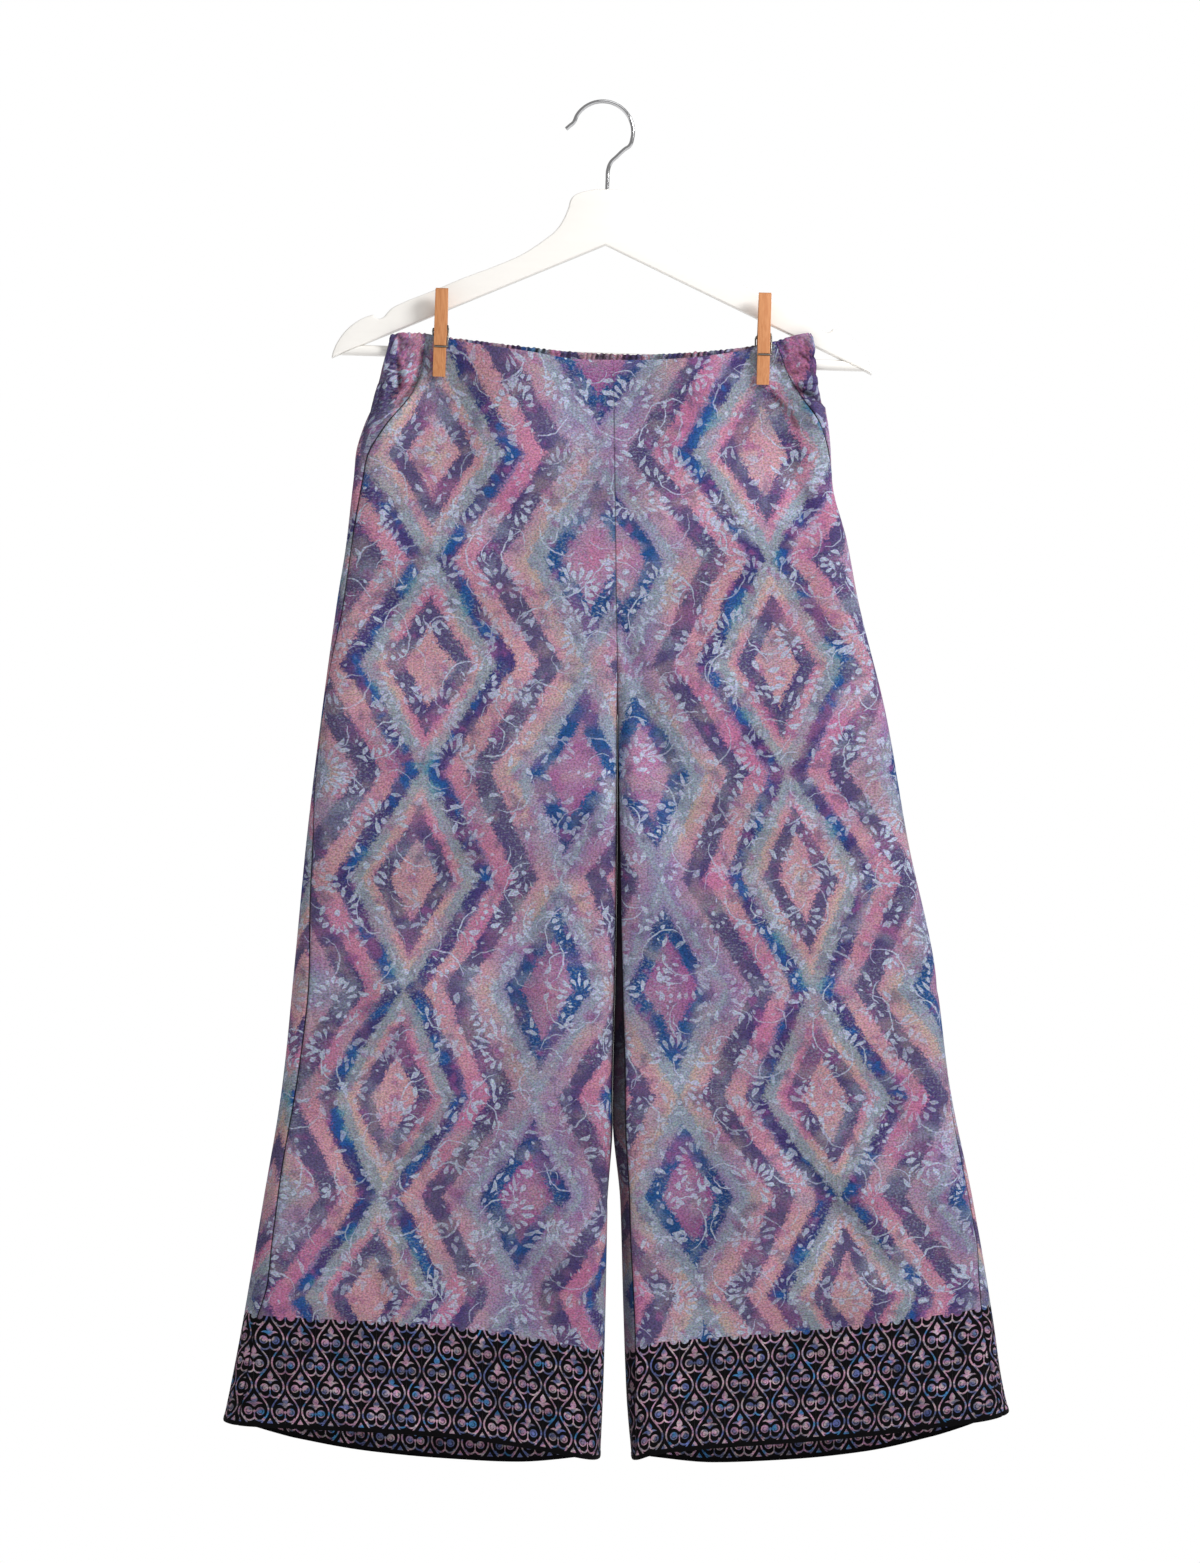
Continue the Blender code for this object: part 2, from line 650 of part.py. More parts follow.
def make_body(material, collection, cutters):
    upper = [(row.across, row.height) for row in ARM_EDGE]
    half = upper + [tuple(TIP_UNDERSIDE)]
    outline = half + [(0.0, APEX_LEVEL)] + [(-across, up) for across, up in reversed(half)]
    curve = outline_curve("hanger_outline", outline, ARM_THICKNESS, ARM_EDGE_ROUND)
    drawn = bpy.data.objects.new("hanger_outline", curve)
    collection.objects.link(drawn)
    drawn.matrix_world = hanger_frame()
    bpy.context.view_layer.update()
    evaluated = drawn.evaluated_get(bpy.context.evaluated_depsgraph_get())
    mesh = bpy.data.meshes.new_from_object(evaluated)
    welded = bmesh.new()
    welded.from_mesh(mesh)
    bmesh.ops.remove_doubles(welded, verts=welded.verts, dist=0.00001)
    welded.to_mesh(mesh)
    welded.free()
    mesh.materials.clear()
    mesh.name = "hanger_arms"
    body = add_object("hanger_arms", mesh, material, collection)
    body.matrix_world = drawn.matrix_world
    bpy.data.objects.remove(drawn)

    top = ARM_EDGE[0].height
    bpy.ops.mesh.primitive_cylinder_add(
        vertices=16, radius=(HOOK_WIRE / 2 + GAP) * MM, depth=2 * (SHANK_SINK + GAP) * MM)
    bore = bpy.context.object
    bore.name = "shank_bore"
    x, z = from_hanger(0.0, top)
    bore.matrix_world = (Matrix.Translation((x * MM, 0.0, z * MM))
                         @ Matrix.Rotation(HANGER_TILT, 4, "Y"))
    for owner in bore.users_collection:
        owner.objects.unlink(bore)
    cutters.objects.link(bore)
    bore.hide_render = True
    bore.display_type = "WIRE"
    cut = body.modifiers.new("shank_bore", "BOOLEAN")
    cut.operation = "DIFFERENCE"
    cut.solver = "EXACT"
    cut.object = bore
    return body


def make_bar(material, collection):
    """The round trouser bar, its ends sloped to the underside of the arms."""
    bar = bmesh.new()
    turned = (Matrix.Translation((HANGER_OFFSET * MM, 0.0, BAR_LEVEL * MM))
              @ Matrix.Rotation(math.pi / 2, 4, "Y"))
    bmesh.ops.create_cone(bar, cap_ends=True, segments=BAR_SIDES, radius1=BAR_RADIUS * MM,
                          radius2=BAR_RADIUS * MM, depth=2 * TIP_REACH * MM, matrix=turned)
    for sign in (-1.0, 1.0):
        apex = Vector((HANGER_OFFSET * MM, 0.0, APEX_LEVEL * MM))
        normal = Vector((sign * ARM_SLOPE, 0.0, 1.0)).normalized()
        geometry = bar.verts[:] + bar.edges[:] + bar.faces[:]
        bmesh.ops.bisect_plane(bar, geom=geometry, plane_co=apex - normal * GAP * MM,
                               plane_no=normal, clear_outer=True)
        rim = [edge for edge in bar.edges if edge.is_boundary]
        bmesh.ops.holes_fill(bar, edges=rim, sides=0)
    bmesh.ops.recalc_face_normals(bar, faces=bar.faces)
    bmesh.ops.transform(bar, matrix=Matrix.Rotation(HANGER_TILT, 4, "Y"), verts=bar.verts)
    mesh = bpy.data.meshes.new("trouser_bar")
    bar.to_mesh(mesh)
    bar.free()
    mesh.shade_smooth()
    mesh.set_sharp_from_angle(angle=math.radians(40))
    return add_object("trouser_bar", mesh, material, collection)


def make_hook(material, collection):
    crook = []
    for step in range(CROOK_STEPS + 1):
        angle = math.radians(mix(CROOK_START, CROOK_END, step / CROOK_STEPS))
        crook.append(HookPoint(CROOK_CENTRE[0] + CROOK_RADIUS * math.cos(angle),
                               CROOK_CENTRE[1] + CROOK_RADIUS * math.sin(angle)))
    foot = HookPoint(0.0, ARM_EDGE[0].height - SHANK_SINK)
    route = [*HOOK_LIP, *crook, *HOOK_SHANK, foot]
    guide = []
    for place in route:
        x, z = from_hanger(*place)
        guide.append(Vector((x, 0.0, z)))
    return wire("hook", smooth_path(guide, 2), HOOK_WIRE, material, collection)


# ---- the clothespins ---------------------------------------------------
def arc_points(centre, radius, start, end, steps):
    points = []
    for step in range(steps + 1):
        angle = mix(start, end, step / steps)
        points.append((centre[0] + radius * math.cos(angle),
                       centre[1] + radius * math.sin(angle)))
    return points


def lever_outline(length, notch=None):
    """Side outline of a lever: along it from the coil, and out from the coil's plane."""
    face, back = FACE_OFFSET, FACE_OFFSET + LEVER_THICKNESS
    handle = length - JAW_LENGTH
    groove = GROOVE_FROM_TIP - JAW_LENGTH
    points = [(-JAW_LENGTH, face + 0.4), (-JAW_LENGTH + 1.5, face)]
    if notch is not None:
        radius = BAR_RADIUS + GAP
        half = math.acos((face - notch[1]) / radius)
        points += arc_points(notch, radius, math.pi / 2 + half, math.pi / 2 - half, 6)
    seat = COIL_RADIUS + GAP
    half = math.acos(face / seat)
    points += arc_points((0.0, 0.0), seat, math.pi / 2 + half, math.pi / 2 - half, 4)
    points += [(TAPER_START, face), (handle, face + HANDLE_TAPER), (handle, back - 0.5),
               (handle - 0.6, back)]
    points += [(groove + GROOVE_WIDTH / 2, back),
               (groove + GROOVE_WIDTH / 2, back - GROOVE_DEPTH),
               (groove - GROOVE_WIDTH / 2, back - GROOVE_DEPTH),
               (groove - GROOVE_WIDTH / 2, back)]
    points += [(-JAW_LENGTH + TIP_TAPER, back), (-JAW_LENGTH, face + TIP_THICKNESS)]
    return points


def pin_frame(pin):
    """Lean of a clothespin in the cloth's plane, about the bar's middle line."""
    centre = Vector((pin.across, 0.0, bar_height(pin.across))) * MM
    return Matrix.Translation(centre) @ Matrix.Rotation(pin.lean, 4, "Y")


def coil_centre(pin):
    """Middle of the coil in the pin's frame: depth and height above the bar."""
    grip = (JAW_LENGTH - pin.tip_below_bar)
    cos, sin = math.cos(FRONT_LEAN), math.sin(FRONT_LEAN)
    return (LEVER_FACE + FACE_OFFSET * cos - grip * sin, grip * cos + FACE_OFFSET * sin)


def make_pin(pin, wood, steel, collection):
    depth, height = coil_centre(pin)
    frame = pin_frame(pin) @ Matrix.Translation(Vector((0.0, depth, height)) * MM)
    back_lean = FRONT_LEAN + OPENING
    cos, sin = math.cos(back_lean), math.sin(back_lean)
    # the bar's middle seen from the back lever: along it, and out from the coil
    notch = (-(-depth) * sin - height * cos, (-depth) * cos - height * sin)
    spots = (("front_lever", FRONT_LEAN, -1.0, None), ("back_lever", back_lean, 1.0, notch))
    for label, lean, outward, cut in spots:
        name = f"{pin.name}_{label}"
        curve = outline_curve(name, lever_outline(pin.length, cut), PIN_WIDTH)
        lever = add_object(name, curve, wood, collection)
        along = Vector((0.0, -math.sin(lean), math.cos(lean)))
        out = Vector((0.0, math.cos(lean), math.sin(lean))) * outward
        axes = Matrix((along, out, along.cross(out))).transposed().to_4x4()
        lever.matrix_world = frame @ axes
    spring = wire(f"{pin.name}_spring", spring_route(), SPRING_WIRE, steel, collection)
    spring.matrix_world = frame
    return spring


def spring_route():
    """Centre line of the spring: an arm over each lever and the coil between them."""
    radius = COIL_RADIUS - SPRING_WIRE / 2
    side = PIN_WIDTH / 2 + SPRING_WIRE / 2 + GAP
    over = FACE_OFFSET + LEVER_THICKNESS - GROOVE_DEPTH + SPRING_WIRE / 2 + GAP
    along = GROOVE_FROM_TIP - JAW_LENGTH
    route = []
    for outward, lean, hand in ((-1.0, FRONT_LEAN, 1.0), (1.0, FRONT_LEAN + OPENING, -1.0)):
        down = Vector((0.0, math.sin(lean), -math.cos(lean)))
        out = Vector((0.0, math.cos(lean), math.sin(lean))) * outward
        groove = down * -along + out * over
        corner = Vector((hand * side, 0.0, 0.0))
        arm = [Vector((-hand * (side - 1.6), 0.0, 0.0)) + groove,
               Vector((hand * (side - 0.9), 0.0, 0.0)) + groove,
               Vector((hand * (side - 0.25), 0.0, 0.0)) + groove - out * 0.25,
               corner + groove - out * 0.9,
               corner + groove - out * 2.4 - down * 1.0]
        route.append(arm)
    front_arm, back_arm = route
    coil = []
    start = math.atan2(-1.0, -2.2)
    total = COIL_TURNS * 2 * math.pi
    steps = COIL_TURNS * COIL_STEPS
    for step in range(steps + 1):
        angle = start - total * step / steps
        coil.append(Vector((mix(side, -side, step / steps),
                            radius * math.cos(angle), radius * math.sin(angle))))
    return front_arm + coil + list(reversed(back_arm))


# ---- assembly ----------------------------------------------------------
def main():
    for item in list(bpy.data.objects):
        bpy.data.objects.remove(item)
    collection = bpy.data.collections.new(OBJECT_NAME)
    cutters = bpy.data.collections.new("cutters")
    for group in (collection, cutters):
        bpy.context.scene.collection.children.link(group)

    left, right = Half("left"), Half("right")
    front_cloth = finish("printed_front_cloth", (0.42, 0.33, 0.48), 0.75)
    panel("front_left", left, True, front_cloth, collection)
    panel("front_right", right, True,
          finish("printed_front_cloth_right", (0.43, 0.33, 0.49), 0.75), collection)
    panel("back_left", left, False,
          finish("printed_back_cloth", (0.38, 0.31, 0.46), 0.75), collection)
    panel("back_right", right, False,
          finish("printed_back_cloth_right", (0.39, 0.31, 0.47), 0.75), collection)
    casing("back_waist_casing", (left, right),
           finish("gathered_waist_cloth", (0.36, 0.27, 0.44), 0.8), collection)

    make_body(finish("white_lacquer", (0.87, 0.86, 0.84), 0.35), collection, cutters)
    make_bar(finish("white_bar", (0.88, 0.86, 0.84), 0.4), collection)
    make_hook(finish("bright_hook_wire", (0.75, 0.75, 0.76), 0.15, 1.0), collection)
    wood = finish("clothespin_wood", (0.68, 0.42, 0.22), 0.6)
    steel = finish("spring_steel", (0.7, 0.7, 0.7), 0.3, 1.0)
    for pin in PINS:
        make_pin(pin, wood, steel, collection)
    bpy.context.view_layer.update()


main()
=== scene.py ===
"""Cropped palazzo pants with a printed hem border, pinned to a white hanger.

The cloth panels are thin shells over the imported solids, and the hanger, its
hook and the two clothespins are finer models in the places of theirs.  The
frame is in metres with +Z up, the front faces -Y, and the origin is the inner
crown of the hook.  Sizes of the form are millimetres, and sizes of the print's
motifs and of the studio are metres.
"""
import logging
import math
from dataclasses import dataclass, fields
from enum import Enum
from typing import Any, Callable, Optional, Sequence, Union

import bmesh
import bpy
import numpy as np
from mathutils import Matrix, Vector


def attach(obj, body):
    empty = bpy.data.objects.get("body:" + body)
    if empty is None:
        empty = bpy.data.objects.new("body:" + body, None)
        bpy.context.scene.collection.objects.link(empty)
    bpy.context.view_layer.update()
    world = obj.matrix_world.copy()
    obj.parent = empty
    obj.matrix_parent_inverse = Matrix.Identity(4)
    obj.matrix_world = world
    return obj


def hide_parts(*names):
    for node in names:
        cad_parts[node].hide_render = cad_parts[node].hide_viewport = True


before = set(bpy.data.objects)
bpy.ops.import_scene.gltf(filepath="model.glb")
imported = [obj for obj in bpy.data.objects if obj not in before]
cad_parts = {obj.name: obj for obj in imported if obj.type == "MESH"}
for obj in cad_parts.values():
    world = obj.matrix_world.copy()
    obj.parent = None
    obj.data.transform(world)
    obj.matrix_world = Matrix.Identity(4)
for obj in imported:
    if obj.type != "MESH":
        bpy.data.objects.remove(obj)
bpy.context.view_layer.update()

LOG = logging.getLogger("palazzo_pants")
MM = 0.001
BODY = "root"

Colour = tuple[float, float, float]
Numbers = np.ndarray


class Side(Enum):
    """The half of the pants, as the photo shows it, with the way it lies in X."""

    LEFT = -1.0
    RIGHT = 1.0


class Face(Enum):
    """The panel's face of the leg."""

    FRONT = "front"
    BACK = "back"


# ---- tables of the garment's form ----------------------------------------
WAIST_LEVEL = -214.0
LENGTH = 911.0
WALL = 1.2
CROTCH_DROP = 295.0
CROTCH_TURN = 70.0
CASING_HEIGHT = 30.0
WAIST_FADE = 90.0
HEM_FADE = 151.0
SAG_LOW = 4.5
SAG_HIGH = 16.0
SAG_SPAN = 175.0
INNER_REACH = 16.0
GATHERS = 96
BACK_FOLDS = 9
BACK_FOLD_DEPTH = 2.4
BACK_FOLD_START = 32.0
BACK_FOLD_FULL = 72.0
BACK_FOLD_FADE = 80.0
BACK_FOLD_END = 260.0


def rows(kind: type, *values: tuple[Any, ...]) -> tuple[Any, ...]:
    """Return a table's rows, each made from its values in the order of the columns."""
    return tuple(kind(*row) for row in values)


@dataclass(frozen=True)
class Section:
    """Level section of the cloth: outer folds, inner edges, depths and fold rounding."""

    drop: float
    left_fold: float
    right_fold: float
    left_inner: float
    right_inner: float
    front: float
    back: float
    reach: float


SECTIONS = rows(
    Section,
    (0, -177.0, 172.3, 7.85, 8.15, -13.6, -6.0, 12),
    (15, -182.0, 176.0, 8.05, 8.35, -14.1, -6.0, 14),
    (30, -187.0, 178.1, 8.25, 8.55, -14.8, -4.5, 16),
    (60, -199.0, 186.4, 8.65, 8.95, -16.2, -0.5, 20),
    (80, -205.8, 188.9, 8.85, 9.15, -17.2, 1.7, 22),
    (100, -207.8, 189.6, 9.15, 9.45, -18.2, 3.5, 24),
    (150, -213.2, 201.8, 9.75, 10.05, -20.0, 6.0, 26),
    (200, -221.1, 211.3, 10.35, 10.65, -21.0, 7.5, 28),
    (295, -234.2, 234.5, 11.45, 11.75, -21.0, 9.0, 28),
    (400, -246.8, 252.8, 10.9, 11.7, -21.5, 10.0, 28),
    (500, -256.4, 274.4, 9.5, 10.4, -22.0, 10.5, 28),
    (600, -266.5, 286.9, 6.5, 8.6, -23.0, 11.5, 28),
    (700, -282.9, 307.0, 3.4, 13.8, -24.0, 13.0, 28),
    (800, -299.5, 323.4, 1.3, 16.7, -25.0, 14.5, 28),
    (860, -308.7, 330.0, -0.5, 19.0, -25.5, 15.5, 28),
    (911, -315.8, 336.6, -2.8, 23.3, -26.0, 16.5, 28))


@dataclass(frozen=True)
class SeamLine:
    """How far each seam lies from its fold: positive on the front, negative behind."""

    drop: float
    left_side: float
    right_side: float
    left_inseam: float = 0.0
    right_inseam: float = 0.0


SEAM_LINES = rows(
    SeamLine, (0, 29.0, 29.0), (15, 31.0, 26.0), (30, 30.0, 19.0), (60, 16.0, 4.5),
    (84, 9.3, 0.8), (110, 7.0, -2.2), (150, 4.5, -8.0), (200, 5.5, -8.0), (260, 1.5, -8.0),
    (295, 0.8, -8.0), (345, 1.5, -8.0, -1.5, 0.8), (400, 5.5, -8.0, -2.0, 1.8),
    (450, 8.3, -8.0, -2.0, 3.0), (530, 14.0, -6.0, -2.0, 6.0), (600, 12.2, 0.5, -2.0, 9.0),
    (650, 11.0, 2.6, -2.0, 8.0), (730, 13.5, 3.0, -2.0, 7.0), (765, 15.5, 7.0, -2.0, 8.0),
    (800, 11.5, 9.0, -2.0, 8.5), (911, 12.8, 6.0, -2.0, 2.5))


@dataclass(frozen=True)
class WaistEdge:
    """Rise of the waist's edge above its level at a place across it."""

    across: float
    front: float
    back: float


WAIST_EDGE = rows(
    WaistEdge, (-182, 19.5, 19.5), (-165, 22.0, 22.0), (-148, 21.3, 21.3),
    (-136, 19.0, 19.2), (-110, 13.5, 16.4), (-66, 7.0, 11.0), (-16, -0.5, 6.0),
    (30, -1.0, 4.4), (70, 1.0, 6.0), (110, 6.5, 9.6), (132, 12.5, 13.0), (143, 15.2, 15.2),
    (170, 21.5, 21.5), (182, 20.5, 20.5))


@dataclass(frozen=True)
class HemEdge:
    """Rise of the hem from the inner fold (0) to the outer fold (1)."""

    outward: float
    left_front: float
    left_back: float
    right_front: float
    right_back: float


HEM_EDGE = rows(
    HemEdge, (0.00, 0.0, 0.0, -1.0, -1.0), (0.06, 3.5, -4.0, 6.0, -4.0),
    (0.22, 12.5, -8.0, 11.0, -8.5), (0.42, 20.5, -5.0, 15.5, -6.0),
    (0.62, 24.5, 1.0, 21.0, 0.5), (0.80, 27.0, 11.0, 28.0, 13.0),
    (0.92, 29.0, 21.0, 33.0, 25.0), (1.00, 31.0, 31.0, 38.0, 38.0))


@dataclass(frozen=True)
class Crease:
    """A soft trough (depth > 0) or ridge (depth < 0) between two places on the cloth."""

    across: float
    drop: float
    to_across: float
    to_drop: float
    width: float
    depth: float


FRONT_CREASES = rows(
    Crease, (16, 225, 50, 330, 16, 4.0), (50, 330, 70, 420, 18, 2.5),
    (-52, 440, -88, 600, 20, 4.0), (-88, 600, -128, 700, 22, 3.0),
    (-188, 760, -176, 800, 16, 2.5), (150, 60, 166, 130, 15, 4.0),
    (247, 490, 275, 525, 15, 3.5), (150, 655, 236, 755, 16, 4.5),
    (-60, 380, -30, 560, 18, -2.5), (115, 560, 95, 760, 24, -3.0),
    (-150, 250, -170, 480, 26, -2.5), (180, 240, 205, 460, 26, -2.5))
BACK_CREASES = rows(
    Crease, (-20, 230, -75, 380, 20, 4.0), (40, 230, 95, 370, 20, 4.0),
    (-110, 420, -150, 680, 24, 4.0), (-215, 520, -235, 700, 20, 3.5),
    (120, 430, 170, 700, 24, 4.5), (215, 500, 250, 640, 20, 3.5),
    (-70, 620, -80, 860, 26, -3.5), (85, 600, 100, 860, 26, -3.5))
# narrower creases of the thin cloth, which the solids leave out
FINE_FRONT_CREASES = rows(
    Crease, (18, 236, 50, 330, 6, 1.2), (50, 330, 72, 405, 7, 0.9),
    (-54, 450, -86, 598, 7, 1.2), (-86, 598, -126, 690, 8, 0.9), (-17, 646, -1, 699, 5, 1.2),
    (-84, 400, -36, 590, 12, -0.8), (143, 36, 163, 116, 7, 1.6), (152, 42, 176, 58, 4, 0.9),
    (247, 492, 275, 522, 6, 1.4), (150, 656, 236, 752, 7, 1.4), (168, 628, 214, 690, 8, -0.8),
    (255, 673, 271, 698, 6, 1.2), (230, 598, 250, 640, 6, 1.1), (-188, 762, -177, 797, 4, 1.6),
    (-239, 548, -231, 557, 3, 0.9), (-248, 619, -241, 627, 3, 0.9),
    (-151, 46, -171, 120, 9, 0.9), (-122, 44, -104, 112, 10, 0.8), (118, 44, 100, 118, 10, 0.8),
    (-196, 140, -178, 210, 8, 0.8), (196, 300, 178, 372, 9, 0.7), (262, 836, 240, 905, 8, 0.9),
    (-92, 810, -104, 905, 10, 0.8), (84, 800, 92, 905, 10, 0.8), (-250, 830, -262, 905, 9, 0.9))
FINE_BACK_CREASES = rows(
    Crease, (-22, 236, -73, 376, 7, 1.2), (42, 236, 93, 366, 7, 1.2),
    (-112, 430, -148, 672, 8, 1.1), (-216, 525, -233, 690, 7, 1.1),
    (122, 440, 168, 690, 8, 1.2), (216, 505, 248, 634, 7, 1.1), (-30, 640, -46, 760, 8, 0.9),
    (60, 520, 48, 640, 8, 0.9), (-180, 180, -150, 290, 9, 0.8), (176, 170, 150, 270, 9, 0.8),
    (-196, 742, -184, 800, 5, 1.3), (210, 735, 190, 812, 6, 1.2),
    (-120, 810, -128, 905, 10, 0.9), (130, 806, 142, 905, 10, 0.9), (262, 820, 280, 905, 9, 0.9),
    (-248, 820, -262, 905, 9, 0.9))
# crumples beside the clothespins, where the elastic gathers the sides
SIDE_CRUMPLES = rows(
    Crease, (157, 22, 163, 26, 2.6, 2.6), (163, 26, 172, 30, 2.6, 3.4),
    (172, 30, 183, 36, 2.0, 2.6), (160, 33, 182, 41, 3.0, -1.4), (149, 13, 156, 12, 2.0, 1.8),
    (156, 12, 168, 7, 2.0, 2.2), (168, 7, 176, 12, 2.2, 1.6), (157, -2, 163, -4, 1.8, 1.8),
    (163, -4, 169, 0, 2.0, 2.8), (169, 0, 174, -3, 1.8, 2.4), (167, -16, 168, -5, 1.8, 1.8),
    (172, -18, 173, -8, 2.0, -1.2), (139, 1, 151, 5, 4.4, 1.8), (147, -14, 151, -6, 2.0, 1.4),
    (139, 28, 148, 38, 2.6, 2.4), (148, 38, 159, 55, 3.2, 1.8), (-178, 5, -171, 0, 1.8, 2.0),
    (-171, 0, -169, 15, 2.0, 2.8), (-169, 15, -169, 24, 2.2, 3.4),
    (-169, 24, -176, 31, 2.2, 2.6), (-176, 31, -177, 39, 2.0, 1.6),
    (-162, 6, -163, 22, 2.8, -1.8), (-150, -7, -150, 2, 2.6, 2.2),
    (-150, 2, -154, 15, 2.6, 2.6), (-154, 15, -159, 24, 2.6, 2.6),
    (-159, 24, -170, 38, 2.4, 2.2), (-172, -21, -163, -11, 1.8, 2.0),
    (-163, -11, -157, -11, 1.8, 1.8), (-169, -14, -168, -5, 1.6, 1.6),
    (-164, 2, -160, 10, 1.8, 1.6), (-176, -14, -178, -4, 2.0, 1.2),
    (-181, 14, -190, 44, 3.4, 1.2))


@dataclass(frozen=True)
class Contact:
    """How far the shadow between the legs reaches from their folds, and how dark it is."""

    drop: float
    left: float
    right: float
    darkness: float


CONTACTS = rows(
    Contact, (270, 0.5, 0.5, 0.00), (300, 0.8, 0.8, 0.90), (345, 1.2, 1.4, 0.97),
    (380, 1.8, 3.2, 0.97), (415, 2.0, 3.4, 0.97), (450, 1.6, 3.0, 0.97), (540, 1.4, 3.0, 0.95),
    (600, 1.2, 2.4, 0.86), (660, 1.0, 1.8, 0.70), (760, 0.8, 1.6, 0.55), (911, 0.8, 1.6, 0.45))


@dataclass(frozen=True)
class PrintRow:
    """Where a column of large diamonds lies at a drop, and the step to the next."""

    drop: float
    column: float
    step: float


PRINT_COLUMNS = {
    Side.LEFT: rows(
        PrintRow, (79.4, -141.4, 137.0), (253.7, -143.9, 130.0), (428.0, -156.4, 122.0),
        (610.6, -173.0, 117.0), (772.5, -193.7, 120.0), (911.0, -210.0, 122.0)),
    Side.RIGHT: rows(
        PrintRow, (79.4, 131.6, 132.8), (253.7, 142.4, 120.0), (430.5, 163.2, 116.0),
        (610.6, 183.9, 122.0), (774.0, 204.7, 124.5), (911.0, 219.6, 125.0))}


@dataclass(frozen=True)
class PrintLevel:
    """Number of a row of large diamonds, and its drop."""

    drop: float
    row: float


PRINT_LEVELS = rows(
    PrintLevel, (-94.9, -1.0), (79.4, 0.0), (253.7, 1.0), (430.5, 2.0), (610.6, 3.0),
    (774.1, 4.0), (947.0, 5.0))

# ---- the hanger and the clothespins --------------------------------------
HANGER_TILT = math.radians(1.8)
HANGER_OFFSET = 5.2
BAR_LEVEL = -211.7
BAR_RADIUS = 4.5
FRONT_LEAN = math.radians(7.0)
GAP = 0.3
PINNED_FRONT = -8.5
PINNED_BACK = -6.3
PIN_HOLD = 11.0
PIN_DRAPE = 58.0
PIN_REST = 12.0
PIN_FALL = 100.0


@dataclass(frozen=True)
class Pin:
    """A clothespin: its place across the bar, lean, length and reach below the bar."""

    name: str
    across: float
    lean: float
    length: float
    tip_below_bar: float


PINS = (Pin("clothespin_left", -135.7, math.radians(2.3), 72.0, 20.6),
        Pin("clothespin_right", 132.3, math.radians(1.2), 75.0, 18.9))


# ---- arithmetic on whole arrays ------------------------------------------
def mix(low: Any, high: Any, share: Any) -> Any:
    """Return the value a share of the way from low to high."""
    return low + (high - low) * share


def ease(share: Any) -> Any:
    """Return a share held to 0..1 that leaves and arrives softly."""
    share = np.clip(share, 0.0, 1.0)
    return share * share * (3.0 - 2.0 * share)


def bell(distance: Any, reach: float) -> Any:
    """Return 1 at no distance, falling softly past its reach."""
    return np.exp(-(distance / reach) ** 2)


def paired(first: Numbers, second: Numbers) -> Numbers:
    """Return two values for every vertex, side by side."""
    return np.stack((first, second), axis=-1)


class Track:
    """A smooth line through the rows of a table, which never overshoots them."""

    def __init__(self, table: Sequence[Any], key: str, name: str) -> None:
        """Read the key and value columns and settle the slope at every row.

        Args:
            table: Rows of one table, in rising order of the key.
            key: Field that the line is read by.
            name: Field that the line gives.
        """
        self.at = np.array([getattr(row, key) for row in table], dtype=float)
        self.value = np.array([getattr(row, name) for row in table], dtype=float)
        steps = np.diff(self.value) / np.diff(self.at)
        product, total = steps[:-1] * steps[1:], steps[:-1] + steps[1:]
        between = np.where(product > 0.0,
                           2.0 * product / np.where(product > 0.0, total, 1.0), 0.0)
        self.slope = np.concatenate(([steps[0]], between, [steps[-1]]))

    def __call__(self, place: Numbers) -> Numbers:
        """Read the line.

        Args:
            place: Places along the track's key.

        Returns:
            The value at every place.
        """
        place = np.clip(place, self.at[0], self.at[-1])
        i = np.clip(np.searchsorted(self.at, place, side="right") - 1, 0, len(self.at) - 2)
        span = self.at[i + 1] - self.at[i]
        t = (place - self.at[i]) / span
        rise = self.value[i + 1] - self.value[i]
        start, end = self.slope[i] * span, self.slope[i + 1] * span
        return self.value[i] + t * (start + t * (3 * rise - 2 * start - end
                                                 + t * (start + end - 2 * rise)))


def tracks(table: Sequence[Any], key: str) -> dict[str, Track]:
    """Return a track for every column of a table but its key."""
    return {item.name: Track(table, key, item.name)
            for item in fields(table[0]) if item.name != key}


SECTION_AT = tracks(SECTIONS, "drop")
SEAM_AT = tracks(SEAM_LINES, "drop")
WAIST_AT = tracks(WAIST_EDGE, "across")
HEM_AT = tracks(HEM_EDGE, "outward")
CONTACT_AT = tracks(CONTACTS, "drop")


def ellipse_quarter(half_width: Numbers, half_depth: Numbers) -> Numbers:
    """Return the length of a quarter of an ellipse."""
    return math.pi / 2 * np.sqrt((half_width ** 2 + half_depth ** 2) / 2)


def presses(table: Sequence[Crease], across: Numbers, height: Numbers) -> Numbers:
    """Find how deep each crease presses into the cloth.

    Args:
        table: The creases.
        across: Places across the garment.
        height: Their heights.

    Returns:
        A row for each crease with its depth at every place, positive into the leg.
    """
    depths = []
    for row in table:
        run = (row.to_across - row.across, row.to_drop - row.drop)
        reach_x, reach_y = across - row.across, WAIST_LEVEL - height - row.drop
        share = (reach_x * run[0] + reach_y * run[1]) / (run[0] ** 2 + run[1] ** 2)
        share = np.clip(share, 0.0, 1.0)
        distance = np.hypot(reach_x - share * run[0], reach_y - share * run[1]) / row.width
        depths.append(row.depth * np.exp(-distance * distance))
    return np.array(depths)


def fine_creases(across: Numbers, height: Numbers, facing: Numbers) -> Numbers:
    """Find how deep the thin cloth's own creases press, front and back.

    Args:
        across: Places across the garment.
        height: Their heights.
        facing: How far each faces the front, from -1 to 1.

    Returns:
        Depth at every place.
    """
    back, front = (presses(table, across, height).sum(axis=0)
                   for table in (FINE_BACK_CREASES, FINE_FRONT_CREASES))
    return mix(back, front, (1.0 + facing) / 2)


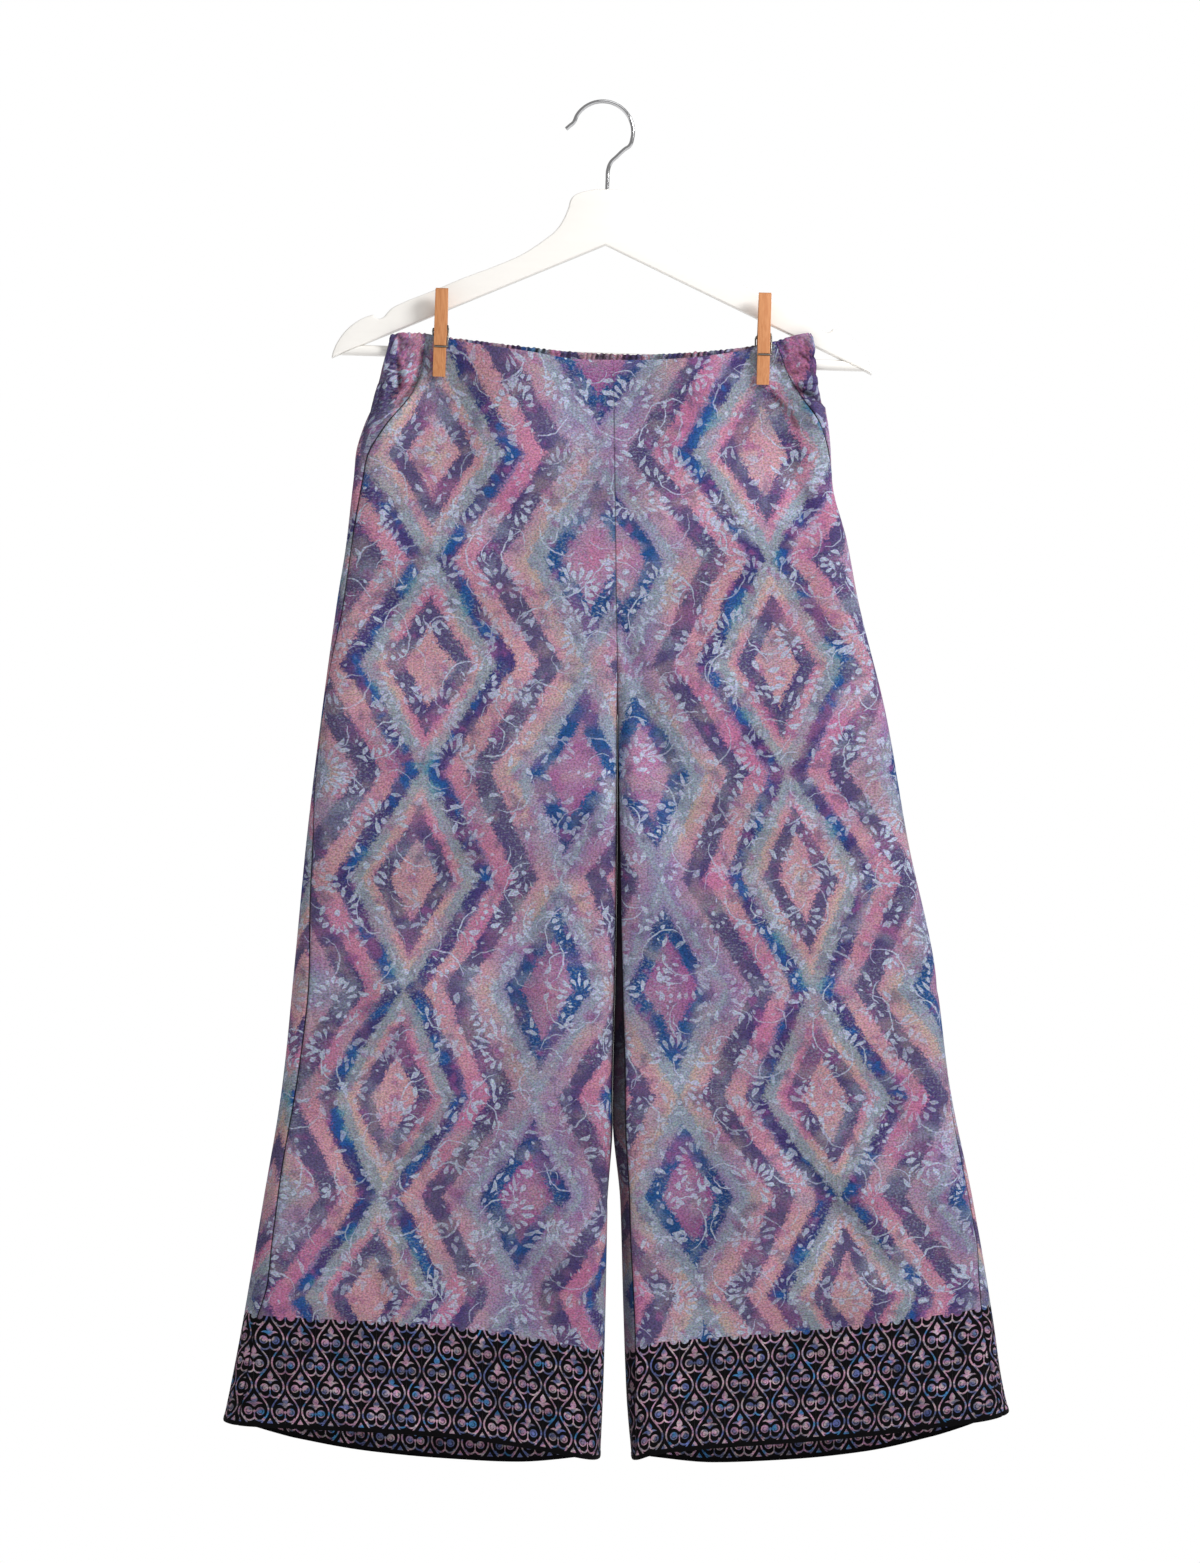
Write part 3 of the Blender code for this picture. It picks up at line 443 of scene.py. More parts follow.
def side_crumple(across: Numbers, height: Numbers, facing: Numbers) -> Numbers:
    """Find how deep the crumples beside the clothespins press into the outer cloth.

    Args:
        across: Places across the garment.
        height: Their heights.
        facing: How far each faces the front, from -1 to 1.

    Returns:
        Depth at every place; where two crumples meet, the deeper holds.
    """
    depths = presses(SIDE_CRUMPLES, across, height)
    deepest = np.maximum(depths.max(axis=0), 0.0) + np.minimum(depths.min(axis=0), 0.0)
    return deepest * ease((facing + 0.6) / 0.8)


def bar_height(across: float) -> float:
    """Find the height of the tilted bar's middle line at a place across it.

    Args:
        across: A place across the hanger.

    Returns:
        Height of the bar's middle there.
    """
    tilt = math.tan(HANGER_TILT)
    middle = HANGER_OFFSET + BAR_LEVEL * math.sin(HANGER_TILT)
    return BAR_LEVEL * math.cos(HANGER_TILT) - (HANGER_OFFSET + across - middle) * tilt


def pin_hold(pin: Pin, across: Numbers, height: Numbers) -> tuple[Numbers, Numbers]:
    """Find how firmly a clothespin holds the cloth.

    Args:
        pin: The clothespin.
        across: Places across the garment.
        height: Their heights.

    Returns:
        The hold, from 0 to 1, and the height above the bar, kept above the pin's rest.
    """
    above_bar = height - bar_height(pin.across)
    off = np.abs(across - pin.across - math.tan(pin.lean) * above_bar)
    sideways = 1.0 - ease((off - PIN_HOLD) / (PIN_DRAPE - PIN_HOLD))
    below_tip = -above_bar - pin.tip_below_bar - PIN_REST
    held = sideways * (1.0 - ease(below_tip / PIN_FALL))
    return held, np.maximum(above_bar, -pin.tip_below_bar - PIN_REST)


# ---- the form of one leg --------------------------------------------------
@dataclass
class Cut:
    """Measured parts of a level section, for many drops at once."""

    inner: Numbers
    width: Numbers
    turned: Numbers
    reach: Numbers
    inner_reach: Numbers
    inner_arc: Numbers
    run: Numbers
    outer_arc: Numbers

    @property
    def length(self) -> Numbers:
        """Length all the way round."""
        return 2 * (self.inner_arc + self.run) + self.outer_arc


@dataclass(frozen=True)
class LegForm:
    """One side of the pants: its level sections and where its seams run."""

    side: Side

    @property
    def sign(self) -> float:
        """Way that the side lies in X."""
        return self.side.value

    @property
    def word(self) -> str:
        """Word that the side's columns start with in the tables."""
        return self.side.name.lower()

    def measure(self, drop: Numbers) -> Cut:
        """Measure the level sections.

        Args:
            drop: How far below the waist's edge they lie.

        Returns:
            The sections.
        """
        turn = np.clip((drop - CROTCH_DROP + CROTCH_TURN) / CROTCH_TURN, 0.0, 1.0)
        turned = turn * math.pi / 2
        inner = SECTION_AT[self.word + "_inner"](drop) + self.sign * WALL / 2 * np.sin(turned)
        outer = SECTION_AT[self.word + "_fold"](drop) - self.sign * WALL / 2
        depth = (SECTION_AT["back"](drop) - SECTION_AT["front"](drop)) / 2
        reach = SECTION_AT["reach"](drop)
        width = self.sign * (outer - inner)
        inner_reach = mix(0.4, 1.0, turn) * INNER_REACH
        return Cut(
            inner=inner, width=width, turned=turned, reach=reach, inner_reach=inner_reach,
            inner_arc=ellipse_quarter(inner_reach, depth) * turn,
            run=width - reach - inner_reach * np.sin(turned),
            outer_arc=2 * ellipse_quarter(reach, depth))

    def seams(self, drop: Numbers) -> tuple[Numbers, Numbers]:
        """Find the seams.

        Args:
            drop: How far below the waist's edge the places lie.

        Returns:
            The lengths round to the inner seam, negative behind, and to the side seam.
        """
        cut = self.measure(drop)
        inset = SEAM_AT[self.word + "_inseam"](drop)
        angle = np.arcsin(np.clip(1.0 - np.abs(inset) / cut.inner_reach, 0.0, 1.0))
        inseam = np.sign(inset) * (cut.inner_arc * (1.0 - angle / (math.pi / 2)))
        inset = SEAM_AT[self.word + "_side"](drop)
        over = np.maximum(0.0, np.abs(inset) - cut.reach)
        angle = np.arcsin(np.clip(1.0 - np.abs(inset) / cut.reach, 0.0, 1.0))
        from_front = cut.outer_arc * angle / math.pi - over
        from_front = np.where(inset < 0.0, cut.outer_arc - from_front, from_front)
        return inseam, cut.inner_arc + cut.run + from_front


class Spots:
    """Many places on the cloth of one leg, each at a drop and a length round.

    The length runs from the inner fold out over the front and then back behind.
    """

    def __init__(self, form: LegForm, along: Numbers, drop: Numbers) -> None:
        """Find the places.

        Args:
            form: The leg.
            along: Length round each level section.
            drop: How far below the waist's edge they lie.
        """
        self.form, self.along, self.drop = form, along, drop
        self.cut = cut = form.measure(drop)
        total = cut.length
        along = np.where(along < 0.0, along + total, along)
        along = np.where(along > total, along - total, along)
        behind = along > total / 2
        along = np.where(behind, total - along, along)
        arc, run = cut.inner_arc, cut.run
        inner_angle = cut.turned * (1.0 - along / np.maximum(arc, 1e-9))
        outer_angle = (along - arc - run) / cut.outer_arc * math.pi
        turned_out = cut.inner_reach * np.sin(cut.turned)
        zones = [along < arc, along < arc + run]
        out = np.select(zones, [turned_out - cut.inner_reach * np.sin(inner_angle),
                                turned_out + along - arc],
                        cut.width - cut.reach * (1.0 - np.sin(outer_angle)))
        facing = np.select(zones, [np.cos(inner_angle), np.ones_like(along)],
                           np.cos(outer_angle))
        self.facing = np.where(behind, -facing, facing)
        self.across = cut.inner + form.sign * out
        self.outward = np.clip(out / cut.width, 0.0, 1.0)
        self.height = self.level(drop)
        self.held = np.max([pin_hold(pin, self.across, self.height)[0] for pin in PINS], axis=0)
        self.places = self.lie()

    def level(self, drop: Numbers) -> Numbers:
        """Find the heights, with the waist's sag and the hem's dip.

        Args:
            drop: The drops to find them at.

        Returns:
            The heights.
        """
        behind = (1.0 - self.facing) / 2
        edge = mix(WAIST_AT["front"](self.across), WAIST_AT["back"](self.across), behind)
        smooth = SAG_LOW + SAG_HIGH * (self.across / SAG_SPAN) ** 2
        rise = mix(edge, smooth, ease(drop / CASING_HEIGHT))
        rise = rise * np.clip(1.0 - drop / WAIST_FADE, 0.0, 1.0) ** 2
        hem = mix(HEM_AT[self.form.word + "_front"](self.outward),
                  HEM_AT[self.form.word + "_back"](self.outward), behind)
        rise = rise + hem * np.clip((drop - LENGTH + HEM_FADE) / HEM_FADE, 0.0, 1.0) ** 2
        return WAIST_LEVEL - drop + rise

    def back_folds(self) -> Numbers:
        """Find the soft folds that fall from the back's gathers.

        Returns:
            Their depth at every place.
        """
        strength = ease((self.drop - BACK_FOLD_START) / (BACK_FOLD_FULL - BACK_FOLD_START))
        strength = strength * (1.0 - ease((self.drop - BACK_FOLD_FADE)
                                          / (BACK_FOLD_END - BACK_FOLD_FADE)))
        unevenness = 0.75 + 0.35 * np.sin(5.3 * self.outward + self.form.sign)
        return BACK_FOLD_DEPTH * strength * unevenness * np.sin(
            math.pi * BACK_FOLDS * self.outward ** 1.08)

    def lie(self) -> Numbers:
        """Lay the cloth's middle surface.

        Returns:
            One row of X, Y and Z for each place.
        """
        pushed = [presses(table, self.across, self.height).sum(axis=0)
                  for table in (FRONT_CREASES, BACK_CREASES)]
        front = SECTION_AT["front"](self.drop) + pushed[0]
        back = SECTION_AT["back"](self.drop) - pushed[1] + self.back_folds()
        for pin in PINS:
            held, above_bar = pin_hold(pin, self.across, self.height)
            slope = -above_bar * math.tan(FRONT_LEAN)
            front = mix(front, PINNED_FRONT + slope, held)
            back = mix(back, PINNED_BACK + np.maximum(0.0, slope), held)
        middle = (front + back) / 2 - (back - front) / 2 * self.facing
        return np.stack((self.across, middle, self.height), axis=-1)

    def normals(self, step: float = 0.4) -> Numbers:
        """Find the level directions out of the cloth, square to its sections.

        Args:
            step: Length to either side over which the cloth's run is taken.

        Returns:
            The directions, each of length 1.
        """
        closed = self.cut.turned < math.pi / 2
        low, high = self.along - step, self.along + step
        low = np.where(closed, np.maximum(0.0, low), low)
        high = np.where(closed, np.minimum(self.cut.length, high), high)
        run = (Spots(self.form, high, self.drop).places
               - Spots(self.form, low, self.drop).places)
        normal = self.form.sign * np.stack((run[:, 1], -run[:, 0], np.zeros(len(run))), axis=-1)
        return normal / np.linalg.norm(normal, axis=1, keepdims=True)

    def unrolled(self, face: Face) -> Numbers:
        """Find the places across the flat cloth, carried on round the folds.

        Args:
            face: Face whose run lies true; it is counted on from there.

        Returns:
            Places across the flat cloth of that face.
        """
        along = self.along if face is Face.FRONT else self.cut.length - self.along
        out = self.cut.inner_reach * np.sin(self.cut.turned) + along - self.cut.inner_arc
        return self.cut.inner + self.form.sign * out

    def lattice(self, face: Face) -> Numbers:
        """Find the places in the print's lattice of diamonds, shifted on the back.

        Args:
            face: Face of the leg that they belong to.

        Returns:
            The column and the row, counted in whole diamonds.
        """
        step = 0.0 if face is Face.FRONT else 1.0
        columns = tracks(PRINT_COLUMNS[self.form.side], "drop")
        row = Track(PRINT_LEVELS, "drop", "row")(self.drop)
        flat = self.unrolled(face) - columns["column"](self.drop)
        return paired(flat / columns["step"](self.drop) + step, row + step / 2)


# ---- shader arithmetic -----------------------------------------------------
def operation(name: str, swapped: bool = False) -> Callable[..., "Signal"]:
    """Make a method of Signal that adds a Math node.

    Args:
        name: What the node does.
        swapped: Whether the signal itself comes second.

    Returns:
        The method.
    """
    def method(self: "Signal", other: "Value" = 0.0, third: float = 0.0) -> "Signal":
        """Add the node.

        Args:
            other: Its other value.
            third: Its third value, which only a few of the operations read.

        Returns:
            The node's output.
        """
        first, second = (other, self) if swapped else (self, other)
        return self.board.node("ShaderNodeMath", {"operation": name},
                               {0: first, 1: second, 2: third})
    return method


class Signal:
    """A node socket in arithmetic: each operator and method adds its node."""

    __add__ = __radd__ = operation("ADD")
    __sub__ = operation("SUBTRACT")
    __rsub__ = operation("SUBTRACT", swapped=True)
    __mul__ = __rmul__ = operation("MULTIPLY")
    __truediv__ = operation("DIVIDE")
    __pow__ = operation("POWER")
    __abs__ = operation("ABSOLUTE")
    __lt__ = operation("LESS_THAN")
    least = operation("MINIMUM")
    most = operation("MAXIMUM")
    root = operation("SQRT")
    sine = operation("SINE")
    cosine = operation("COSINE")
    angle_from = operation("ARCTAN2")
    floor = operation("FLOOR")
    wave = operation("PINGPONG")
    repeat = operation("WRAP")

    def __init__(self, board: "Board", socket: bpy.types.NodeSocket) -> None:
        """Keep the socket and the board that its node stands on."""
        self.board, self.socket = board, socket

    def __neg__(self) -> "Signal":
        """Turn the sign."""
        return self * -1.0

    def output(self, name: str) -> "Signal":
        """Return another output of the same node."""
        return Signal(self.board, self.socket.node.outputs[name])

    def hypot(self, other: "Signal") -> "Signal":
        """Return the length of two legs at a right angle."""
        return (self * self + other * other).root()

    def held_to_1(self) -> "Signal":
        """Hold the value to 0..1."""
        return self.least(1.0).most(0.0)

    def soft(self, low: float, high: float) -> "Signal":
        """Return 0 below low and 1 above high, with a soft step between."""
        return self.board.node("ShaderNodeMapRange", {"interpolation_type": "SMOOTHSTEP"},
                               {"Value": self, "From Min": low, "From Max": high})

    def within(self, half_width: "Value", blur: float) -> "Signal":
        """Return 1 where a distance is under a half-width, with a blurred edge."""
        return (half_width - self).soft(-blur, blur)

    def choose(self, first: "Value", second: "Value") -> "Signal":
        """Blend two values by this share."""
        return self.board.node("ShaderNodeMix", {"data_type": "FLOAT"},
                               {0: self, 2: first, 3: second}, out=0)

    def ramp(self, stops: Sequence[tuple[float, Colour]]) -> "Signal":
        """Read a colour from a ramp."""
        return self.board.node("ShaderNodeValToRGB", {"stops": stops}, {0: self})

    def toward(self, share: "Value", tint: "Value") -> "Signal":
        """Blend this colour to another."""
        return self.board.blend(share, self, tint)

    def shaded(self, shade: "Value") -> "Signal":
        """Multiply this colour by a shade."""
        return self.board.blend(1.0, self, shade, "MULTIPLY")

    def split(self) -> tuple["Signal", "Signal"]:
        """Return the first two parts of a vector."""
        parts = self.board.node("ShaderNodeSeparateXYZ", None, {0: self})
        return parts, parts.output("Y")

    def vector(self, name: str, other: Any) -> "Signal":
        """Add a Vector Math node."""
        return self.board.node("ShaderNodeVectorMath", {"operation": name}, {0: self, 1: other})

    def moved(self, x: float, y: float, z: float = 0.0) -> "Signal":
        """Move places."""
        return self.vector("ADD", (x, y, z))

    def scaled(self, x: float, y: float, z: float = 1.0) -> "Signal":
        """Scale places."""
        return self.vector("MULTIPLY", (x, y, z))

    def noise(self, scale: float, detail: float = 2.0, roughness: float = 0.5,
              out: str = "Fac") -> "Signal":
        """Read a noise at these places, with so many steps for each unit of place."""
        return self.board.node("ShaderNodeTexNoise", {"noise_dimensions": "3D"}, {
            "Vector": self, "Scale": scale, "Detail": detail, "Roughness": roughness}, out)

    def voronoi(self, feature: str, scale: float, randomness: float) -> "Signal":
        """Find the cell or the nearest cell's edge at these places.

        Args:
            feature: What is found.
            scale: How many cells lie in a unit of place.
            randomness: How far the cells stray from a grid.

        Returns:
            The distance, with the node's other outputs beside it.
        """
        return self.board.node(
            "ShaderNodeTexVoronoi", {"voronoi_dimensions": "2D", "feature": feature},
            {"Vector": self, "Scale": scale, "Randomness": randomness})


Value = Union[Signal, float]


def ink(*parts: float) -> Colour:
    """Return the linear colour of a display colour's red, green and blue, up to 255."""
    return tuple(part / 12.92 if part <= 0.04045 else ((part + 0.055) / 1.055) ** 2.4
                 for part in (whole / 255.0 for whole in parts))


class Board:
    """A material's node tree, with one method that adds any node."""

    def __init__(self, name: str, **constants: float) -> None:
        """Start a material.

        Args:
            name: Name of the material.
            **constants: Values of its shader's sockets, with _ for a space.
        """
        self.material = bpy.data.materials.new(name)
        self.material.use_nodes = True
        self.tree = self.material.node_tree
        self.shader = self.tree.nodes["Principled BSDF"]
        for key, value in constants.items():
            socket = key.replace("_", " ").title().replace("Ior", "IOR")
            self.shader.inputs[socket].default_value = value

    def node(self, kind: str, settings: Optional[dict[str, Any]] = None,
             sockets: Optional[dict[Union[str, int], Any]] = None,
             out: Union[str, int] = 0) -> Signal:
        """Add a node.

        Args:
            kind: Its type.
            settings: Its own settings, set first; stops are a ramp's places and colours.
            sockets: Values or links of its inputs, by name or number.
            out: The output to hand on.

        Returns:
            The output as a signal.
        """
        made = self.tree.nodes.new(kind)
        for name, value in (settings or {}).items():
            if name == "stops":
                self.set_stops(made.color_ramp, value)
            else:
                setattr(made, name, value)
        for key, value in (sockets or {}).items():
            socket = made.inputs[key]
            if isinstance(value, Signal):
                self.tree.links.new(value.socket, socket)
            elif isinstance(value, tuple) and len(value) == 3 and socket.type == "RGBA":
                socket.default_value = (*value, 1.0)
            else:
                socket.default_value = value
        return Signal(self, made.outputs[out])

    @staticmethod
    def set_stops(ramp: bpy.types.ColorRamp, stops: Sequence[tuple[float, Colour]]) -> None:
        """Give a ramp its places and colours.

        Args:
            ramp: The ramp.
            stops: Its places and colours, in order.
        """
        while len(ramp.elements) < len(stops):
            ramp.elements.new(1.0)
        for element, (place, colour) in zip(ramp.elements, stops):
            element.position = place
            element.color = (*colour, 1.0)

    def blend(self, share: Value, first: Any, second: Any, mode: str = "MIX") -> Signal:
        """Blend two colours."""
        return self.node("ShaderNodeMix", {"data_type": "RGBA", "blend_type": mode},
                         {0: share, 6: first, 7: second}, out=2)

    def uv(self, name: str) -> Signal:
        """Read a UV map."""
        return self.node("ShaderNodeUVMap", {"uv_map": name})

    def place(self) -> Signal:
        """Read the object's own coordinates."""
        return self.node("ShaderNodeTexCoord", out="Object")

    def drive(self, socket: str, signal: Signal) -> None:
        """Link a signal to one of the shader's sockets."""
        self.tree.links.new(signal.socket, self.shader.inputs[socket])

    def bump(self, height: Signal) -> None:
        """Drive the shader's normal by a height in metres."""
        self.drive("Normal", self.node("ShaderNodeBump", None, {
            "Strength": 1.0, "Distance": 1.0, "Height": height}))


# ---- the printed cloth -----------------------------------------------------
@dataclass(frozen=True)
class Inks:
    """Colours of the print, and the dark colour of the painted shadow."""

    beige: Colour = ink(190, 166, 160)
    salmon: Colour = ink(196, 150, 158)
    pink: Colour = ink(196, 146, 164)
    rose: Colour = ink(186, 116, 154)
    magenta: Colour = ink(150, 86, 142)
    lilac: Colour = ink(140, 122, 164)
    mauve: Colour = ink(162, 130, 162)
    grey_purple: Colour = ink(92, 82, 120)
    violet: Colour = ink(74, 62, 116)
    navy: Colour = ink(44, 62, 118)
    blue: Colour = ink(38, 82, 140)
    turquoise: Colour = ink(84, 144, 166)
    green_grey: Colour = ink(146, 152, 164)
    blue_grey: Colour = ink(146, 156, 174)
    bright_blue: Colour = ink(36, 86, 152)
    overprint: Colour = ink(180, 188, 212)
    black: Colour = ink(9, 8, 11)
    # painted shadow: the dark colour laid between the legs, in creases and crumples and in the
    # gathers' troughs
    deep: Colour = ink(14, 9, 18)


INKS = Inks()
BAND_SPAN = 240.0        # distance that a colour ramp covers


@dataclass(frozen=True)
class Stop:
    """A colour of the diamond bands, at a distance out from a diamond's middle."""

    at: float
    colour: Colour


CALM_BANDS = rows(
    Stop, (0, INKS.beige), (25, INKS.pink), (28, INKS.grey_purple), (44, INKS.grey_purple),
    (47, INKS.salmon), (56, INKS.beige), (59, INKS.green_grey), (70, INKS.green_grey),
    (74, INKS.navy), (84, INKS.violet), (90, INKS.violet), (94, INKS.salmon), (112, INKS.pink),
    (116, INKS.grey_purple), (138, INKS.grey_purple), (142, INKS.pink), (163, INKS.beige),
    (167, INKS.blue_grey), (180, INKS.blue_grey), (184, INKS.blue), (200, INKS.blue),
    (204, INKS.mauve), (233, INKS.rose))
VIVID_BANDS = rows(
    Stop, (0, INKS.pink), (25, INKS.salmon), (28, INKS.violet), (44, INKS.grey_purple),
    (47, INKS.rose), (56, INKS.pink), (59, INKS.blue_grey), (70, INKS.green_grey),
    (74, INKS.violet), (86, INKS.violet), (90, INKS.lilac), (94, INKS.rose), (112, INKS.rose),
    (116, INKS.violet), (138, INKS.grey_purple), (142, INKS.mauve), (163, INKS.lilac),
    (168, INKS.blue_grey), (180, INKS.lilac), (184, INKS.navy), (200, INKS.blue),
    (204, INKS.magenta), (233, INKS.mauve))


@dataclass(frozen=True)
class Wash:
    """A thin wash of ink in clouds: its shift, size, soft edge, strength and ink."""

    shift: float
    scale: float
    low: float
    high: float
    most: float
    tint: Colour


WASHES = rows(Wash, (9.0, 22.0, 0.52, 0.68, 0.35, INKS.rose),
              (2.0, 26.0, 0.52, 0.68, 0.45, INKS.blue_grey),
              (21.0, 48.0, 0.53, 0.70, 0.60, INKS.grey_purple),
              (33.0, 30.0, 0.54, 0.66, 0.25, INKS.beige),
              (41.0, 60.0, 0.56, 0.70, 0.55, INKS.magenta))


@dataclass(frozen=True)
class Layer:
    """A scattered layer of the pale print, each motif turned at random in its own cell."""

    cell: float
    chance: float
    shift: float

    def scatter(self, place: Signal) -> tuple[Signal, Signal, Signal, Signal]:
        """Find the cell that each place lies in.

        Args:
            place: Places on the cloth.

        Returns:
            The two coordinates in the turned cell, 1 where it is used, and a random share.
        """
        moved = place.moved(self.shift, self.shift * 0.7)
        cells = moved.voronoi("F1", 1.0 / self.cell, 0.75)
        chance, other = cells.output("Color").split()
        x, y = moved.vector("SUBTRACT", cells.output("Position")).split()
        turn = other * (2 * math.pi)
        cos, sin = turn.cosine(), turn.sine()
        return x * cos + y * sin, y * cos - x * sin, chance < self.chance, other

    def mask(self, place: Signal) -> Signal:
        """Draw the layer's motifs, which each kind of layer does in its own way."""
        raise NotImplementedError


@dataclass(frozen=True)
class Blossoms(Layer):
    """Fans of petals."""

    reach: float
    petals: float
    spread: float
    petal_width: float

    def mask(self, place: Signal) -> Signal:
        """Draw the fans.

        Args:
            place: Places on the cloth.

        Returns:
            1 on the petals and hearts.
        """
        x, y, used, other = self.scatter(place)
        distance = x.hypot(y)
        turn = y.angle_from(x)
        step = 2 * math.pi / self.petals
        from_axis = (turn / step).repeat(1.0) - 0.5
        hand = place.board.node("ShaderNodeTexWhiteNoise", {"noise_dimensions": "2D"}, {
            "Vector": place.board.node("ShaderNodeCombineXYZ", None, {
                0: (turn / step).floor(), 1: other * 50.0})})
        reach = self.reach * (0.70 + 0.34 * hand)
        start = self.reach * (0.36 + 0.14 * other)
        share = (distance - start) / (reach - start)
        width = (share.held_to_1() ** 1.6 * math.pi).sine()
        petal = (abs(from_axis * step) * distance).within(
            self.petal_width * width ** 0.7 - 0.0001, 0.0002)
        petal = petal * (hand < 0.9)
        in_fan = abs(turn).within(math.pi * self.spread, 0.05)
        return (petal * in_fan).most(distance.within(self.reach * 0.11, 0.0003)) * used


@dataclass(frozen=True)
class Leaves(Layer):
    """Single leaves or flecks."""

    length: float
    width: float

    def mask(self, place: Signal) -> Signal:
        """Draw the leaves.

        Args:
            place: Places on the cloth.

        Returns:
            1 on the leaves.
        """
        x, y, used, _ = self.scatter(place)
        along = x / (self.length / 2)
        bowed = abs(y - x * x * (0.35 / self.length))
        return bowed.within((1.0 - along * along) * (self.width / 2), 0.00022) * used


@dataclass(frozen=True)
class Stems(Layer):
    """Thin bowed stems."""

    radius: float
    half_length: float
    width: float

    def mask(self, place: Signal) -> Signal:
        """Draw the stems.

        Args:
            place: Places on the cloth.

        Returns:
            1 on the stems.
        """
        x, y, used, _ = self.scatter(place)
        from_line = abs(x.hypot(y + self.radius) - self.radius)
        taper = self.width * (1.15 - abs(x) * (0.7 / self.half_length))
        upper = (y + self.radius).soft(0.0, 0.001)
        return from_line.within(taper, 0.0002) * upper * (abs(x) < self.half_length) * used


@dataclass(frozen=True)
class HemBorder:
    """The printed border: half-dropped drops that each hold a bud on two scrolls."""

    depth: float = 91.0
    cell: float = 25.0
    period: float = 38.9
    line: float = 0.68
    blur: float = 0.22
    swing: float = 4.85
    apex_drop: float = -1.3
    ball_out: float = 4.6
    ball_down: float = 20.7
    ball_radius: float = 3.2
    curl_radius: float = 1.7
    curl_line: float = 0.34
    arc_out: float = 3.9
    arc_down: float = 24.2
    arc_radius: float = 4.2
    arc_line: float = 0.62
    leaf_out: float = 4.0
    leaf_down: float = 18.7
    leaf_radius: float = 4.7
    leaf_line: float = 1.15
    bud_top: float = 6.4
    bud_length: float = 8.2
    bud_width: float = 2.5
    foot_down: float = 17.6
    plain_edge: float = 3.6

    def print_under(self, ground: Signal, across: Signal, above: Signal,
                    place: Signal) -> Signal:
        """Lay the dark border under the ground.

        Args:
            ground: Colour of the cloth above the border.
            across: Places along the hem, in millimetres.
            above: Their height above it.
            place: Places on the cloth.

        Returns:
            The cloth's colour with the border.
        """
        down = self.depth - above
        half_cell = self.cell / 2
        x = across.wave(half_cell)
        fallen = down - self.apex_drop
        turn = fallen.repeat(self.period) * (2 * math.pi / self.period)
        half_width = half_cell / 2 - self.swing * turn.cosine()
        line = abs(x - half_width).within(self.line, self.blur)
        inside = x < half_width
        local_x = inside.choose(half_cell - x, x)
        local_y = (fallen + inside.choose(self.period / 2, 0.0)).repeat(self.period)
        ball = (local_x - self.ball_out).hypot(local_y - self.ball_down)
        ball = ball.within(self.ball_radius, self.blur)
        inked = line.most(self.bud(local_x, local_y, ball))
        inked = inked * above.soft(self.plain_edge, self.plain_edge + 0.5)
        thread = place.noise(80.0, 1.0, 0.5).ramp([
            (0.30, ink(92, 104, 158)), (0.40, ink(98, 100, 130)), (0.47, ink(182, 164, 172)),
            (0.53, ink(188, 140, 166)), (0.60, ink(124, 114, 148)), (0.68, ink(66, 122, 170))])
        fade, worn = place.noise(55.0, 2.0, 0.5), place.noise(420.0, 2.0, 0.6)
        thread = thread.shaded(-0.28 + 1.95 * fade + 0.5 * worn)
        dark = place.board.blend(inked, INKS.black, thread)
        open_ball = ball * (-down).soft(-6.0, -5.0)
        return ground.toward(down.soft(-0.15, 0.15) * (1.0 - open_ball), dark)

    def bud(self, x: Signal, y: Signal, ball: Signal) -> Signal:
        """Draw one bud on its two scrolls.

        Args:
            x: Places out from the bud's middle, in millimetres.
            y: Places down from the drop's upper end.
            ball: 1 on the scrolls' round ends.

        Returns:
            1 on the whole bud.
        """
        beside, below = x - self.ball_out, y - self.ball_down
        curl = abs(beside.hypot(below - 0.3) - self.curl_radius)
        curl = curl.within(self.curl_line, self.blur) * (
            beside + y - self.ball_down).soft(-1.4, -0.4)
        arc = (x - self.arc_out).hypot(y - self.arc_down)
        arc = abs(arc - self.arc_radius).within(self.arc_line, self.blur)
        arc = arc * y.soft(self.ball_down + 4.2, self.ball_down + 4.9)
        stem = x.within(0.42 + 0.6 * (-abs(below - 0.2)).soft(-1.4, -0.3), self.blur)
        stem = stem * abs(below - 2.6).within(3.4, 0.3)
        leaf = (x - self.leaf_out).hypot(y - self.leaf_down)
        leaf = abs(leaf - self.leaf_radius).within(self.leaf_line - x * x * 0.028, self.blur)
        leaf = leaf * y.within(self.leaf_down - 1.6, 0.2) * x.within(6.6, 0.2)
        share = ((y - self.bud_top) / self.bud_length).held_to_1()
        lobe = x.within(self.bud_width * (share ** 1.25 * math.pi).sine() - 0.1, self.blur)
        foot = x.within(0.36 * (self.foot_down - y), self.blur)
        foot = foot * y.soft(self.foot_down - 5.4, self.foot_down - 4.8)
        drawn = ball * (1.0 - 0.8 * curl)
        for part in (arc, stem, leaf, lobe, foot):
            drawn = drawn.most(part)
        return drawn


